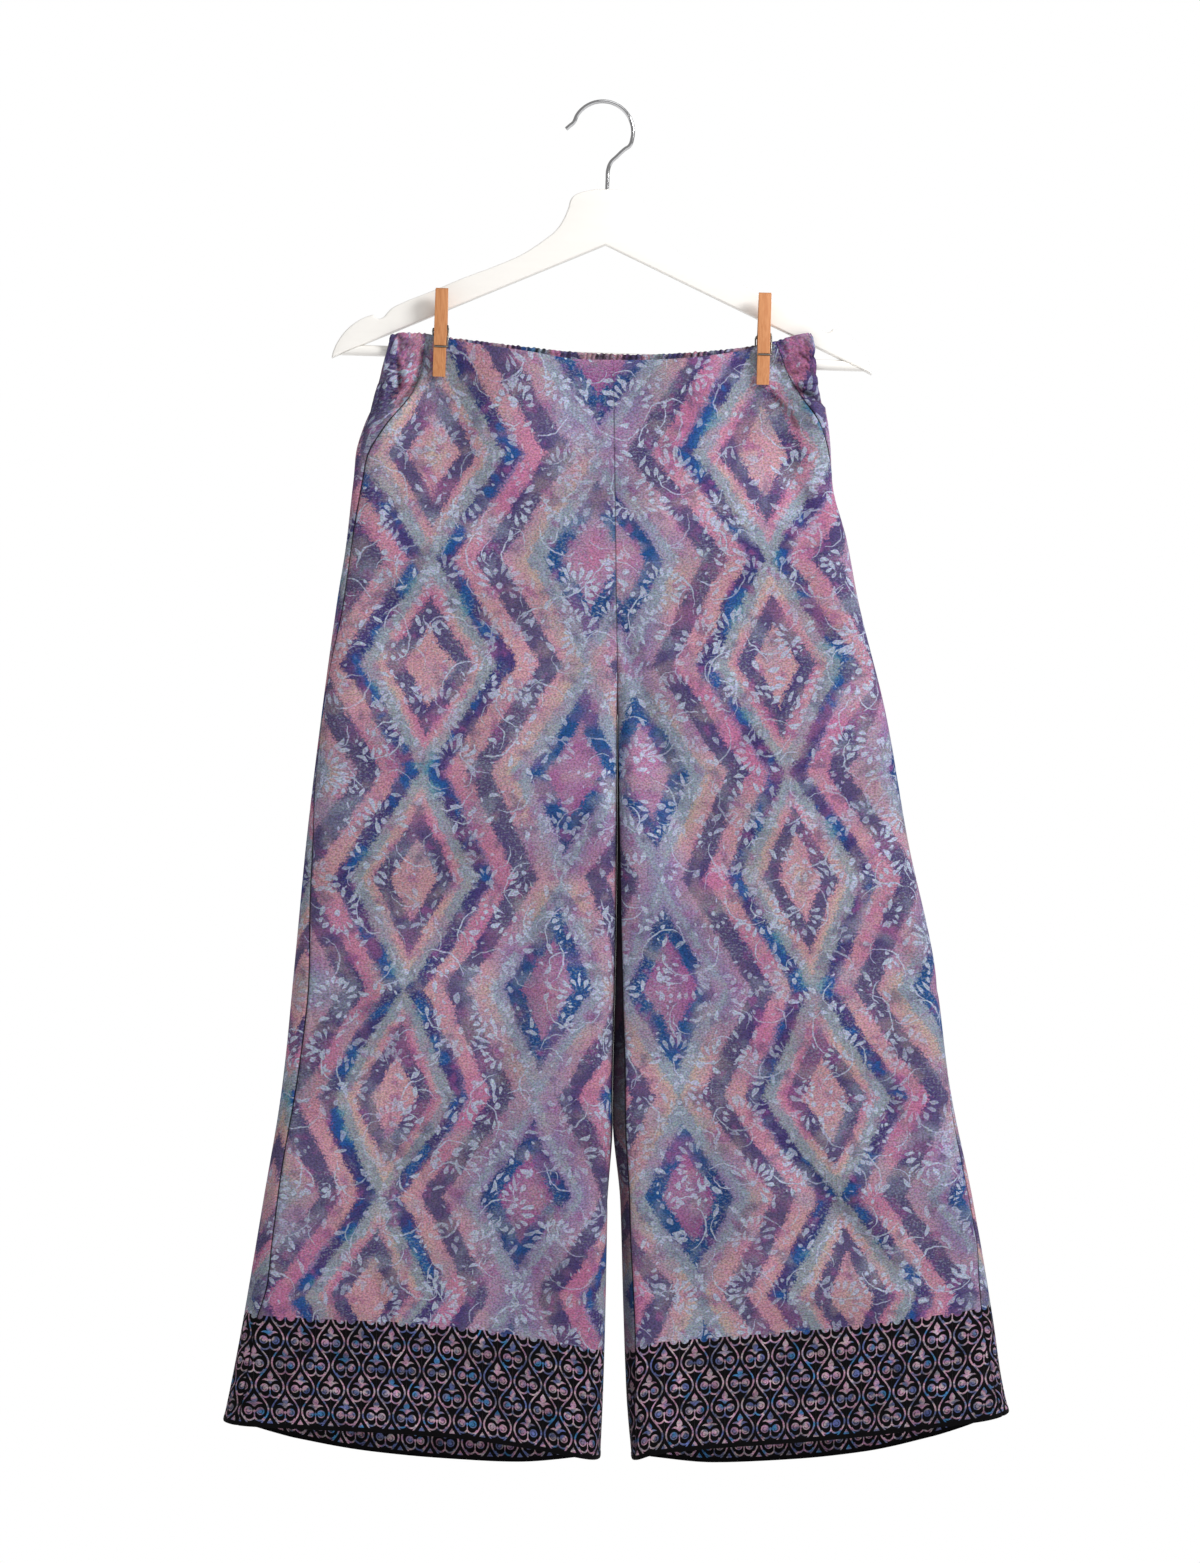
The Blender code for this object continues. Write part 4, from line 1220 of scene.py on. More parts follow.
@dataclass(frozen=True)
class PrintedCloth:
    """Soft woven cloth with a brushed diamond print, pale blossoms and a dark hem border."""

    column_span: float = 165.0
    row_swing: float = 68.0
    border: HemBorder = HemBorder()
    weave_step: float = 0.0011
    layers: tuple[Layer, ...] = (
        Stems(0.044, 0.88, 5.9, 0.021, 0.019, 0.00065),
        Stems(0.033, 0.70, 8.3, 0.012, 0.010, 0.00055),
        Blossoms(0.049, 0.86, 0.0, 0.0225, 16.0, 0.62, 0.00190),
        Blossoms(0.037, 0.62, 3.7, 0.0160, 12.0, 0.40, 0.00170),
        Leaves(0.0155, 0.40, 7.1, 0.0100, 0.0038),
        Leaves(0.0080, 0.20, 11.3, 0.0040, 0.0017))

    def build(self) -> bpy.types.Material:
        """Make the cloth's material.

        Returns:
            The material.
        """
        board = Board("printed_cloth", roughness=0.78, specular_ior_level=0.08,
                      sheen_weight=0.03, sheen_roughness=0.4)
        place = board.uv("cloth")
        u, v = place.split()
        edge, above_hem = board.uv("edge").split()
        shadow, _ = board.uv("shadow").split()
        colour = self.printed_over(self.ground(board.uv("print"), place), place)
        colour = self.border.print_under(colour, u * 1000.0, above_hem * 1000.0, place)
        grain = place.scaled(560.0, 720.0).noise(1.0, 2.0, 0.6)
        heather = place.noise(300.0, 2.0, 0.6)
        shade = 0.56 + 0.56 * grain.soft(0.30, 0.68) + 0.34 * (heather - 0.5)
        tone = place.moved(4.0, 9.0).noise(13.0, 1.0, 0.5)
        colour = colour.shaded(shade * (0.66 + 0.68 * tone))
        flecks = place.noise(700.0, 1.0, 0.6, "Color")
        colour = colour.shaded(flecks.scaled(0.8, 0.7, 0.8).moved(0.6, 0.65, 0.6))
        middle = abs(u - 0.009).within(0.006, 0.001) * v.soft(-0.300, -0.285)
        seam = edge.within(0.00055, 0.0003) * (-v).soft(0.018, 0.045)
        colour = colour.toward(seam * (0.85 - 0.45 * middle), INKS.black)
        # painted shadow: the shadow map darkens the colour between the legs, in creases and
        # crumples and in the gathers' troughs
        board.drive("Base Color", colour.toward(shadow, INKS.deep))
        board.drive("Roughness", 0.70 + 0.18 * heather)
        self.relief(place, above_hem)
        return board.material

    def ground(self, lattice: Signal, place: Signal) -> Signal:
        """Paint the bands round the diamonds, with brushed uneven edges.

        Args:
            lattice: Places in the lattice of diamonds.
            place: Places on the cloth.

        Returns:
            The colour of the bands.
        """
        u, v = lattice.split()
        out = self.column_span * u.wave(1.0) + 2 * self.row_swing * v.wave(0.5)
        swayed, brushed = place.noise(24.0, 1.0, 0.5), place.noise(95.0, 3.0, 0.65)
        frayed = place.noise(520.0, 2.0, 0.6)
        out = out + (swayed - 0.5) * 12.0 + (brushed - 0.5) * 14.0 + (frayed - 0.5) * 18.0
        share = out * (1.0 / BAND_SPAN)
        calm, vivid = (share.ramp([(stop.at / BAND_SPAN, stop.colour) for stop in bands])
                       for bands in (CALM_BANDS, VIVID_BANDS))
        colour = calm.toward(place.noise(8.5, 2.5, 0.55).soft(0.40, 0.60), vivid)
        for wash in WASHES:
            clouds = place.moved(wash.shift * 0.6, wash.shift).noise(wash.scale, 2.0, 0.6)
            colour = colour.toward(wash.most * clouds.soft(wash.low, wash.high), wash.tint)
        # short runs of bright blue and turquoise lie along the dark bands
        pooled = place.moved(5.0, 17.0).noise(30.0, 2.0, 0.6)
        beside = abs(out - 80.0).within(7.0, 2.5) * pooled.soft(0.50, 0.58)
        outside = abs(out - 71.0).within(5.0, 4.0) * pooled.soft(0.56, 0.66)
        return colour.toward(0.9 * beside, INKS.bright_blue).toward(
            0.65 * outside, INKS.turquoise)

    def printed_over(self, ground: Signal, place: Signal) -> Signal:
        """Print the pale blossoms, leaves and stems over the bands.

        Args:
            ground: Colour of the bands.
            place: Places on the cloth.

        Returns:
            The colour with the pale print.
        """
        wander = place.noise(95.0, 1.0, 0.5, "Color").vector("SUBTRACT", (0.5, 0.5, 0.5))
        hand_drawn = place.vector("ADD", wander.scaled(0.006, 0.006, 0.0))
        drawn, *others = [layer.mask(hand_drawn) for layer in self.layers]
        for other in others:
            drawn = drawn.most(other)
        worn = place.noise(300.0, 2.0, 0.6)
        patchy = place.moved(1.0, 6.0).noise(18.0, 1.0, 0.5)
        strength = 0.54 + 0.36 * patchy.soft(0.40, 0.58) + 0.45 * (worn - 0.5)
        # a fine pale stipple lies between the blossoms, in patches
        stipple = place.scaled(420.0, 560.0).noise(1.0, 1.0, 0.5).soft(0.52, 0.62)
        ground = ground.toward(0.42 * (stipple * patchy.soft(0.44, 0.56)), INKS.blue_grey)
        return ground.toward(drawn * strength, INKS.overprint)

    def relief(self, place: Signal, above_hem: Signal) -> None:
        """Raise the weave, the soft crumple and the pressed lines of the cloth.

        Args:
            place: Places on the cloth.
            above_hem: Height above the hem.
        """
        warp, weft = ((part * (2 * math.pi / self.weave_step)).sine() for part in place.split())
        slub = 0.00011 * place.scaled(520.0, 900.0).noise(1.0, 3.0, 0.7)
        crumple = 0.0016 * place.scaled(30.0, 18.0).noise(1.0, 3.0, 0.5)
        folded = place.scaled(17.0, 26.0).voronoi("DISTANCE_TO_EDGE", 1.0, 1.0)
        where = place.moved(3.0, 5.0).noise(7.0, 1.0, 0.5).soft(0.46, 0.6)
        pressed = -0.00035 * folded.within(0.035, 0.03) * where
        stitched = -0.0004 * abs(above_hem - 0.0062).within(0.0004, 0.0004)
        place.board.bump(0.000018 * (warp + weft) + slub + crumple + pressed + stitched)


# ---- finishes of the hanger and the pins -----------------------------------
@dataclass(frozen=True)
class Lacquer:
    """White satin lacquer over wood."""

    name: str = "white_lacquer"
    colour: Colour = ink(251, 248, 243)
    roughness: float = 0.32

    def build(self) -> bpy.types.Material:
        """Make the lacquer's material.

        Returns:
            The material.
        """
        board = Board(self.name, roughness=self.roughness, coat_weight=0.2,
                      coat_roughness=0.2)
        place = board.place()
        brushed = place.scaled(1.0, 3.0, 6.0).noise(30.0, 3.0, 0.6)
        board.drive("Base Color", board.blend(1.0, self.colour, 0.97 + 0.05 * brushed,
                                              "MULTIPLY"))
        board.drive("Roughness", self.roughness - 0.06 + 0.16 * brushed)
        board.bump(0.00006 * brushed + 0.00001 * place.noise(900.0, 1.0))
        return board.material


@dataclass(frozen=True)
class Metal:
    """Drawn wire, plated or plain."""

    name: str
    colour: Colour
    roughness: float

    def build(self) -> bpy.types.Material:
        """Make the wire's material.

        Returns:
            The material.
        """
        board = Board(self.name, metallic=1.0)
        drawn = board.place().noise(260.0, 3.0, 0.6)
        board.drive("Base Color", board.blend(1.0, self.colour, 0.86 + 0.2 * drawn, "MULTIPLY"))
        board.drive("Roughness", self.roughness - 0.05 + 0.16 * drawn)
        board.bump(0.00001 * drawn)
        return board.material


@dataclass(frozen=True)
class Wood:
    """Plain clothespin wood, its grain running up the lever."""

    name: str
    light: Colour
    dark: Colour

    def build(self) -> bpy.types.Material:
        """Make the wood's material.

        Returns:
            The material.
        """
        board = Board(self.name, roughness=0.6)
        place = board.place()
        bend = place.noise(25.0, 1.0, 0.5, "Color").scaled(0.004, 0.004, 0.0)
        bowed = place.vector("ADD", bend)
        grain = bowed.scaled(900.0, 700.0, 22.0).noise(1.0, 3.0, 0.6)
        pores = bowed.scaled(2600.0, 2600.0, 90.0).noise(1.0, 2.0, 0.6)
        colour = board.blend(grain.soft(0.35, 0.68), self.light, self.dark)
        board.drive("Base Color", colour.shaded(0.88 + 0.22 * pores))
        board.drive("Roughness", 0.52 + 0.2 * pores)
        board.bump(0.00008 * grain + 0.00005 * pores)
        return board.material


# ---- meshes ----------------------------------------------------------------
def linked(name: str, data: Any) -> bpy.types.Object:
    """Put a new object into the scene.

    Args:
        name: Its name.
        data: Its mesh, curve, lamp or camera.

    Returns:
        The object.
    """
    made = bpy.data.objects.new(name, data)
    bpy.context.scene.collection.objects.link(made)
    return made


def add_piece(name: str, data: Union[bpy.types.Mesh, bpy.types.Curve],
              material: bpy.types.Material, replaces: str) -> bpy.types.Object:
    """Put a piece into the scene, hide the solid that it stands for, and log which that is.

    Args:
        name: Name of the piece.
        data: Its mesh or curve, in place.
        material: Its material.
        replaces: The solid that it stands for.

    Returns:
        The piece.
    """
    data.materials.clear()
    data.materials.append(material)
    piece = linked(name, data)
    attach(piece, BODY)
    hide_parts(replaces)
    LOG.info("%s stands for %s", name, replaces)
    return piece


def solid_mesh(name: str, shape: bmesh.types.BMesh, sharp: float = 40.0) -> bpy.types.Mesh:
    """Make a smooth-shaded mesh of a closed shape.

    Args:
        name: Name of the mesh.
        shape: The shape, which is freed.
        sharp: Angle past which an edge stays sharp, in degrees.

    Returns:
        The mesh.
    """
    bmesh.ops.remove_doubles(shape, verts=shape.verts, dist=0.000001)
    bmesh.ops.recalc_face_normals(shape, faces=shape.faces)
    mesh = bpy.data.meshes.new(name)
    shape.to_mesh(mesh)
    shape.free()
    mesh.shade_smooth()
    mesh.set_sharp_from_angle(angle=math.radians(sharp))
    return mesh


@dataclass(frozen=True)
class Corner:
    """A point of a flat outline, and whether the outline turns sharply there."""

    across: float
    up: float
    sharp: bool = True


def curved(*places: tuple[float, float]) -> tuple[Corner, ...]:
    """Return points that an outline passes softly."""
    return tuple(Corner(*place, sharp=False) for place in places)


def draw_curve(name: str, points: Sequence[Vector], sharp: Sequence[bool],
               **settings: Any) -> bpy.types.Curve:
    """Draw a curve.

    Args:
        name: Its name.
        points: The points that it passes, in metres.
        sharp: Whether it turns sharply at each.
        **settings: Its own settings.

    Returns:
        The curve.
    """
    curve = bpy.data.curves.new(name, "CURVE")
    for key, value in settings.items():
        setattr(curve, key, value)
    spline = curve.splines.new("BEZIER")
    spline.bezier_points.add(len(points) - 1)
    for point, place, turned in zip(spline.bezier_points, points, sharp):
        point.co = place
        point.handle_left_type = point.handle_right_type = "VECTOR" if turned else "AUTO"
    return curve


def plate(name: str, outline: Sequence[Corner], thickness: float, edge: float,
          place: Matrix) -> bpy.types.Mesh:
    """Make a flat plate with rounded edges.

    Args:
        name: Name of its mesh.
        outline: Its outline in the plate's own plane.
        thickness: Its thickness.
        edge: Radius of the rounding of its edges.
        place: Where the plate's plane goes.

    Returns:
        The plate's mesh, in place.
    """
    curve = draw_curve(
        name, [Vector((corner.across * MM, corner.up * MM, 0.0)) for corner in outline],
        [corner.sharp for corner in outline], dimensions="2D", fill_mode="BOTH",
        extrude=(thickness / 2 - edge) * MM, bevel_depth=edge * MM, bevel_resolution=3,
        offset=-edge * MM, resolution_u=4)
    curve.splines[0].use_cyclic_u = True
    drawn = linked(name, curve)
    bpy.context.view_layer.update()
    evaluated = drawn.evaluated_get(bpy.context.evaluated_depsgraph_get())
    flat = bpy.data.meshes.new_from_object(evaluated)
    shape = bmesh.new()
    shape.from_mesh(flat)
    bpy.data.objects.remove(drawn)
    bpy.data.curves.remove(curve)
    bpy.data.meshes.remove(flat)
    bmesh.ops.transform(shape, matrix=place, verts=shape.verts)
    return solid_mesh(name, shape)


def wire_curve(name: str, points: Sequence[Vector], diameter: float,
               steps: int) -> bpy.types.Curve:
    """Make a round wire with closed ends.

    Args:
        name: Its name.
        points: Points along its middle, in metres.
        diameter: Its diameter.
        steps: How many steps each stretch between two points is drawn in.

    Returns:
        The wire's curve.
    """
    return draw_curve(name, points, [False] * len(points), dimensions="3D",
                      bevel_depth=diameter / 2 * MM, bevel_resolution=5, use_fill_caps=True,
                      resolution_u=steps)


@dataclass(kw_only=True)
class ClothSheet:
    """A grid of cloth, moved onto the garment's form and given its UV maps and wall."""

    name: str
    node: str
    material: bpy.types.Material
    columns: int
    rows: int
    flat: tuple[float, float]
    area: float
    held: str = "hung"
    levers: str = "front_lever"
    wall: float = 0.8
    crumple_shadow: float = 0.24
    back_shift: float = 1.37

    def grid(self) -> tuple[bpy.types.Mesh, Numbers, Numbers]:
        """Make a flat grid.

        Returns:
            The mesh, and the share along and down it of every vertex.
        """
        flat = bmesh.new()
        bmesh.ops.create_grid(flat, x_segments=self.columns, y_segments=self.rows, size=0.5)
        mesh = bpy.data.meshes.new(self.name)
        flat.to_mesh(mesh)
        flat.free()
        places = np.empty(len(mesh.vertices) * 3)
        mesh.vertices.foreach_get("co", places)
        places = places.reshape(-1, 3) + 0.5
        return mesh, places[:, 0], 1.0 - places[:, 1]

    def dress(self, mesh: bpy.types.Mesh, places: Numbers, normals: Numbers,
              maps: dict[str, Numbers]) -> None:
        """Move a grid onto the form and make it a piece of cloth with a wall.

        Args:
            mesh: The grid.
            places: Where its vertices go, in millimetres.
            normals: The directions out of the cloth, which its faces turn to.
            maps: The two values of every vertex, by the name of their UV map.
        """
        mesh.vertices.foreach_set("co", (places * MM).ravel())
        mesh.update()
        middle = mesh.polygons[len(mesh.polygons) // 2]
        if middle.normal.dot(Vector(normals[middle.vertices[0]])) < 0.0:
            mesh.flip_normals()
        mesh.shade_smooth()
        corners = np.empty(len(mesh.loops), dtype=np.int32)
        mesh.loops.foreach_get("vertex_index", corners)
        for name, values in maps.items():
            layer = mesh.uv_layers.new(name=name)
            layer.uv.foreach_set("vector", values[corners].ravel())
        piece = add_piece(f"cloth_{self.node}", mesh, self.material, self.node)
        wall = piece.modifiers.new("cloth_wall", "SOLIDIFY")
        wall.thickness = self.wall * MM
        wall.offset = -1.0
        wall.use_rim = True


@dataclass(kw_only=True)
class LegPanel(ClothSheet):
    """One panel of a leg, from its inner seam to its side seam."""

    form: LegForm
    face: Face
    sewn: float = 0.04
    seam_zone: float = 5.0
    seam_columns: float = 0.09
    seam_roll: float = 0.9
    roll_reach: float = 1.3
    edge_zone: float = 6.0
    edge_rows: float = 0.035
    edge_roll: float = 0.5
    hem_turn: float = 0.35
    gather_depth: float = 0.8
    gather_length: float = 11.0
    gather_fade: float = 70.0
    most_swell: float = 2.2
    parting: float = 640.0
    parting_length: float = 60.0
    inseam_draw: float = 0.13

    def drops(self, share: Numbers) -> Numbers:
        """Space the rows, closer at the top edge and the hem.

        Args:
            share: Share of the way down the grid.

        Returns:
            How far below the waist's edge the rows lie.
        """
        top = 0.0 if self.face is Face.FRONT else CASING_HEIGHT + 0.04
        return np.interp(share, [0.0, self.edge_rows, 1.0 - self.edge_rows, 1.0],
                         [top, top + self.edge_zone, LENGTH - self.edge_zone, LENGTH])

    def span(self, drop: Numbers) -> tuple[Numbers, Numbers]:
        """Find where the panel starts and ends.

        Args:
            drop: How far below the waist's edge the places lie.

        Returns:
            The two lengths round.
        """
        inseam, seam = self.form.seams(drop)
        if self.face is Face.FRONT:
            return inseam + self.sewn, seam - self.sewn
        return seam + self.sewn, self.form.measure(drop).length + inseam - self.sewn

    def columns_along(self, share: Numbers, length: Numbers) -> Numbers:
        """Space the columns, closer at the two seams.

        Args:
            share: Share of the way along the grid.
            length: The panel's length round at each place.

        Returns:
            Share of the way along the panel.
        """
        zone = self.seam_zone / length
        half = np.where(share < 0.5, share, 1.0 - share)
        inner = (half - self.seam_columns) / (0.5 - self.seam_columns)
        half = np.where(half < self.seam_columns, half / self.seam_columns * zone,
                        zone + inner * (0.5 - zone))
        return np.where(share < 0.5, half, 1.0 - half)

    def together(self, drop: Numbers) -> Numbers:
        """Return 1 where the legs touch, falling to 0 where they part."""
        return 1.0 - ease((drop - self.parting) / self.parting_length)

    def closed_up(self, drop: Numbers) -> Numbers:
        """Return how far an inner fold swells to rest against the other leg's."""
        gap = SECTION_AT["right_inner"](drop) - SECTION_AT["left_inner"](drop)
        return np.minimum(np.maximum(gap / 2 - 0.02, 0.0), self.most_swell * self.together(drop))

    def shadowed(self, at: Spots, from_inseam: Numbers) -> Numbers:
        """Find how dark the shadows in the creases and between the legs are.

        Args:
            at: The places.
            from_inseam: Their distance from the inner seam.

        Returns:
            The darkness, from 0 to 1.
        """
        fold = SECTION_AT[self.form.word + "_inner"](at.drop)
        beyond = self.form.sign * (at.across - fold)
        shadow = bell(np.maximum(beyond, 0.0), CONTACT_AT[self.form.word](at.drop))
        if self.form.side is Side.RIGHT and self.face is Face.FRONT:
            shadow = np.maximum(shadow, 0.8 * bell(from_inseam, 1.4) * self.together(at.drop))
        elif self.form.side is Side.RIGHT:
            strip = ease((at.facing - 0.05) / 0.2) * (at.outward < 0.2)
            shadow = np.maximum(shadow, strip)
        creased = presses(FINE_FRONT_CREASES, at.across, at.height).sum(axis=0)
        creased = 0.07 * np.clip(creased, 0.0, 3.0) * ease((at.facing + 0.2) / 0.6)
        crumpled = side_crumple(at.across, at.height, at.facing)
        crumpled = self.crumple_shadow * np.maximum(crumpled, 0.0)
        return np.maximum(shadow * CONTACT_AT["darkness"](at.drop), creased + crumpled)

    def relief(self, at: Spots, from_seam: Numbers, from_hem: Numbers) -> Numbers:
        """Find how far the thin cloth stands out from the form.

        Args:
            at: The places.
            from_seam: Their distance from the nearer seam.
            from_hem: Their height above the hem.

        Returns:
            The distance out at every place.
        """
        at_inner = at.outward < 0.5
        free = 1.0 - at.held * 0.9
        out = (-fine_creases(at.across, at.height, at.facing) * free
               - side_crumple(at.across, at.height, at.facing))
        rolled = self.seam_roll * (1.0 - 0.9 * at_inner * self.together(at.drop))
        rolled = rolled * mix(0.35, 1.0, ease((at.drop - CASING_HEIGHT) / 30.0))
        out = out - rolled * bell(from_seam, self.roll_reach)
        out = out + self.hem_turn * ease((self.edge_zone - from_hem) / 1.5)
        out = out - self.edge_roll * bell(from_hem, 0.7)
        out = out + self.closed_up(at.drop) * at_inner * (1.0 - at.facing ** 2)
        if self.face is Face.FRONT:
            return out - self.edge_roll * bell(at.drop, 0.9)
        wave = np.sin(2 * math.pi * at.along / self.gather_length
                      + 1.7 * np.sin(at.along * 0.047) + 0.9 * np.sin(at.along * 0.131))
        fade = bell(at.drop - CASING_HEIGHT, self.gather_fade)
        return out + self.gather_depth * wave * fade * free

    def build(self) -> None:
        """Build and dress the panel."""
        mesh, share, fall = self.grid()
        drop = self.drops(fall)
        start, end = self.span(drop)
        length = end - start
        at = Spots(self.form, start + length * self.columns_along(share, length), drop)
        from_start, to_end = at.along - start, end - at.along
        from_seam = np.minimum(from_start, to_end)
        from_inseam = from_start if self.face is Face.FRONT else to_end
        from_hem = at.height - at.level(np.full_like(drop, LENGTH))
        normals = at.normals()
        raised = WALL / 2 + self.relief(at, from_seam, from_hem)
        moved = at.places + normals * raised[:, None]
        drawn_in = self.form.sign * self.inseam_draw * bell(from_inseam, 0.6)
        moved[:, 0] -= drawn_in * (at.cut.turned < math.pi / 2)
        away = 0.0 if self.face is Face.FRONT else self.back_shift
        self.dress(mesh, moved, normals, {
            "shadow": paired(self.shadowed(at, from_inseam), np.zeros_like(drop)),
            "print": at.lattice(self.face),
            "cloth": paired(at.unrolled(self.face) * MM + away, -drop * MM),
            "edge": paired(from_seam * MM, from_hem * MM)})


@dataclass(kw_only=True)
class WaistCasing(ClothSheet):
    """The gathered elastic casing of the back waist, from side seam to side seam."""

    held: str = "gathered"
    levers: str = "back_lever"
    wall: float = 0.6
    depth: float = 0.62
    raised: float = 0.6
    edge_wave: float = 0.38
    trough_shadow: float = 0.95

    def build(self) -> None:
        """Build and dress the casing."""
        mesh, share, fall = self.grid()
        drop = fall * CASING_HEIGHT
        forms = [LegForm(side) for side in Side]
        starts = [form.seams(drop)[1] + 0.1 for form in forms]
        ends = [form.measure(drop).length for form in forms]
        first = ends[0] - starts[0]
        run = share * (first + ends[1] - starts[1])
        halves = (Spots(forms[0], starts[0] + np.minimum(run, first), drop),
                  Spots(forms[1], ends[1] - np.maximum(run - first, 0.0), drop))
        on_left = (run <= first)[:, None]
        places, normals, lattice, single = (np.where(on_left, *pair) for pair in zip(*(
            (half.places, half.normals(), half.lattice(Face.BACK),
             paired(half.facing, half.unrolled(Face.BACK))) for half in halves)))
        across, height, facing, flat = *places[:, ::2].T, *single.T

        turn = 2 * math.pi * GATHERS * share
        gathered = 1.0 - 0.9 * ease((facing + 0.3) / 0.8)
        uneven = 0.7 + 0.25 * np.sin(0.061 * turn + 1.0) + 0.25 * np.sin(0.171 * turn)
        drift = 2.2 * np.sin(0.043 * turn) + 1.3 * np.sin(0.127 * turn + 0.8)
        drift = drift + 0.9 * np.sin(0.043 * turn + 1.0) * np.sin(math.pi * fall)
        pinch = 1.0 - 0.45 * bell(fall - 0.5, 0.12)
        rounded = 1.0 - 0.5 * bell(drop, 2.0)
        wave = self.depth * gathered * uneven * pinch * rounded * np.sin(turn + drift)
        roll = -0.5 * bell(drop, 1.0)
        pressed = side_crumple(across, height, facing)
        out = self.raised + wave + roll - fine_creases(across, height, facing) - pressed
        moved = places + normals * out[:, None]
        bumpy = np.sin(turn + 0.6) + 0.7 * np.sin(turn * 0.618 + 2.0) + 0.5 * np.sin(turn * 0.29)
        moved[:, 2] += self.edge_wave * bumpy * uneven * bell(drop, 2.5)
        trough = (0.5 - 0.5 * np.sin(turn * 0.81 + drift)) ** 1.2 * uneven * gathered
        shadow = (self.trough_shadow * (0.45 + 0.55 * bell(drop, 6.0)) * trough
                  + self.crumple_shadow * np.maximum(pressed, 0.0))
        self.dress(mesh, moved, normals, {
            "shadow": paired(np.clip(shadow, 0.0, 0.9), np.zeros_like(drop)),
            "print": lattice,
            "cloth": paired(flat * MM + self.back_shift, -drop * MM),
            "edge": paired(np.minimum(run, run.max() - run) * MM,
                           np.full_like(drop, LENGTH * MM))})


# ---- the hanger ------------------------------------------------------------
@dataclass
class Hanger:
    """The tilted white hanger: its arms, its round bar and its wire hook."""

    lacquer: bpy.types.Material
    bright_wire: bpy.types.Material
    thickness: float = 9.0
    edge_round: float = 1.5
    bar_sides: int = 64
    apex: float = -117.9
    slope: float = 0.4485
    tip: float = 224.5
    hook_wire: float = 3.3
    crook_radius: float = 25.3
    crook_centre: tuple[float, float] = (-5.3, -23.65)
    crook_start: float = 164.0
    crook_end: float = -26.0
    crook_points: int = 12
    lip: tuple[tuple[float, float], ...] = ((-35.6, -22.2), (-32.6, -19.4))
    shank: tuple[tuple[float, float], ...] = (
        (13.6, -37.6), (7.2, -43.9), (2.2, -49.3), (0.2, -55.5), (0.0, -63.0), (0.0, -83.9))
    upper_edge: tuple[Corner, ...] = (
        Corner(9.5, -71.9),
        *curved((17.0, -73.6), (25.5, -76.6), (29.3, -80.0), (32.2, -89.5), (36.8, -100.2),
                (42.3, -108.0), (49.9, -114.6), (59.5, -121.8), (69.7, -128.4), (93.3, -139.4),
                (116.3, -148.8), (140.0, -159.6), (170.3, -173.0), (175.8, -176.2),
                (179.6, -180.2), (182.6, -183.8), (186.2, -185.2), (189.2, -184.0)),
        Corner(191.2, -182.0),
        *curved((197.4, -184.1), (204.0, -187.8), (212.0, -194.4), (219.2, -204.0),
                (223.4, -213.6)),
        Corner(224.5, -218.8), Corner(214.5, -214.1))

    def build(self) -> None:
        """Build the arms, the bar and the hook."""
        self.arms()
        self.bar()
        self.hook()

    def arms(self) -> None:
        """Build the two arms, which are one plate."""
        outline = [*self.upper_edge, Corner(0.0, self.apex)] + [
            Corner(-corner.across, corner.up, corner.sharp)
            for corner in reversed(self.upper_edge)]
        place = (Matrix.Rotation(HANGER_TILT, 4, "Y")
                 @ Matrix.Translation((HANGER_OFFSET * MM, 0.0, 0.0))
                 @ Matrix.Rotation(math.pi / 2, 4, "X"))
        mesh = plate("white_arms", outline, self.thickness, self.edge_round, place)
        add_piece("white_arms", mesh, self.lacquer, "hanger_arms")

    def bar(self) -> None:
        """Build the round bar, its ends sloped to the underside of the arms."""
        bar = bmesh.new()
        turned = (Matrix.Translation((HANGER_OFFSET * MM, 0.0, BAR_LEVEL * MM))
                  @ Matrix.Rotation(math.pi / 2, 4, "Y"))
        bmesh.ops.create_cone(bar, cap_ends=True, segments=self.bar_sides,
                              radius1=BAR_RADIUS * MM, radius2=BAR_RADIUS * MM,
                              depth=2 * self.tip * MM, matrix=turned)
        apex = Vector((HANGER_OFFSET * MM, 0.0, self.apex * MM))
        for side in Side:
            normal = Vector((side.value * self.slope, 0.0, 1.0)).normalized()
            geometry = bar.verts[:] + bar.edges[:] + bar.faces[:]
            bmesh.ops.bisect_plane(bar, geom=geometry, plane_co=apex - normal * GAP * MM,
                                   plane_no=normal, clear_outer=True)
            rim = [edge for edge in bar.edges if edge.is_boundary]
            bmesh.ops.holes_fill(bar, edges=rim, sides=0)
        bmesh.ops.transform(bar, matrix=Matrix.Rotation(HANGER_TILT, 4, "Y"), verts=bar.verts)
        add_piece("white_bar", solid_mesh("white_bar", bar), self.lacquer,
                  "trouser_bar")

    def hook(self) -> None:
        """Bend the hook's wire: lip, crook and shank."""
        route = list(self.lip)
        for step in range(self.crook_points + 1):
            angle = math.radians(mix(self.crook_start, self.crook_end, step / self.crook_points))
            route.append((self.crook_centre[0] + self.crook_radius * math.cos(angle),
                          self.crook_centre[1] + self.crook_radius * math.sin(angle)))
        cos, sin = math.cos(HANGER_TILT), math.sin(HANGER_TILT)
        points = [Vector(((across + HANGER_OFFSET) * cos + height * sin, 0.0,
                          height * cos - (across + HANGER_OFFSET) * sin)) * MM
                  for across, height in [*route, *self.shank]]
        add_piece("wire_hook", wire_curve("wire_hook", points, self.hook_wire, 8),
                  self.bright_wire, "hook")


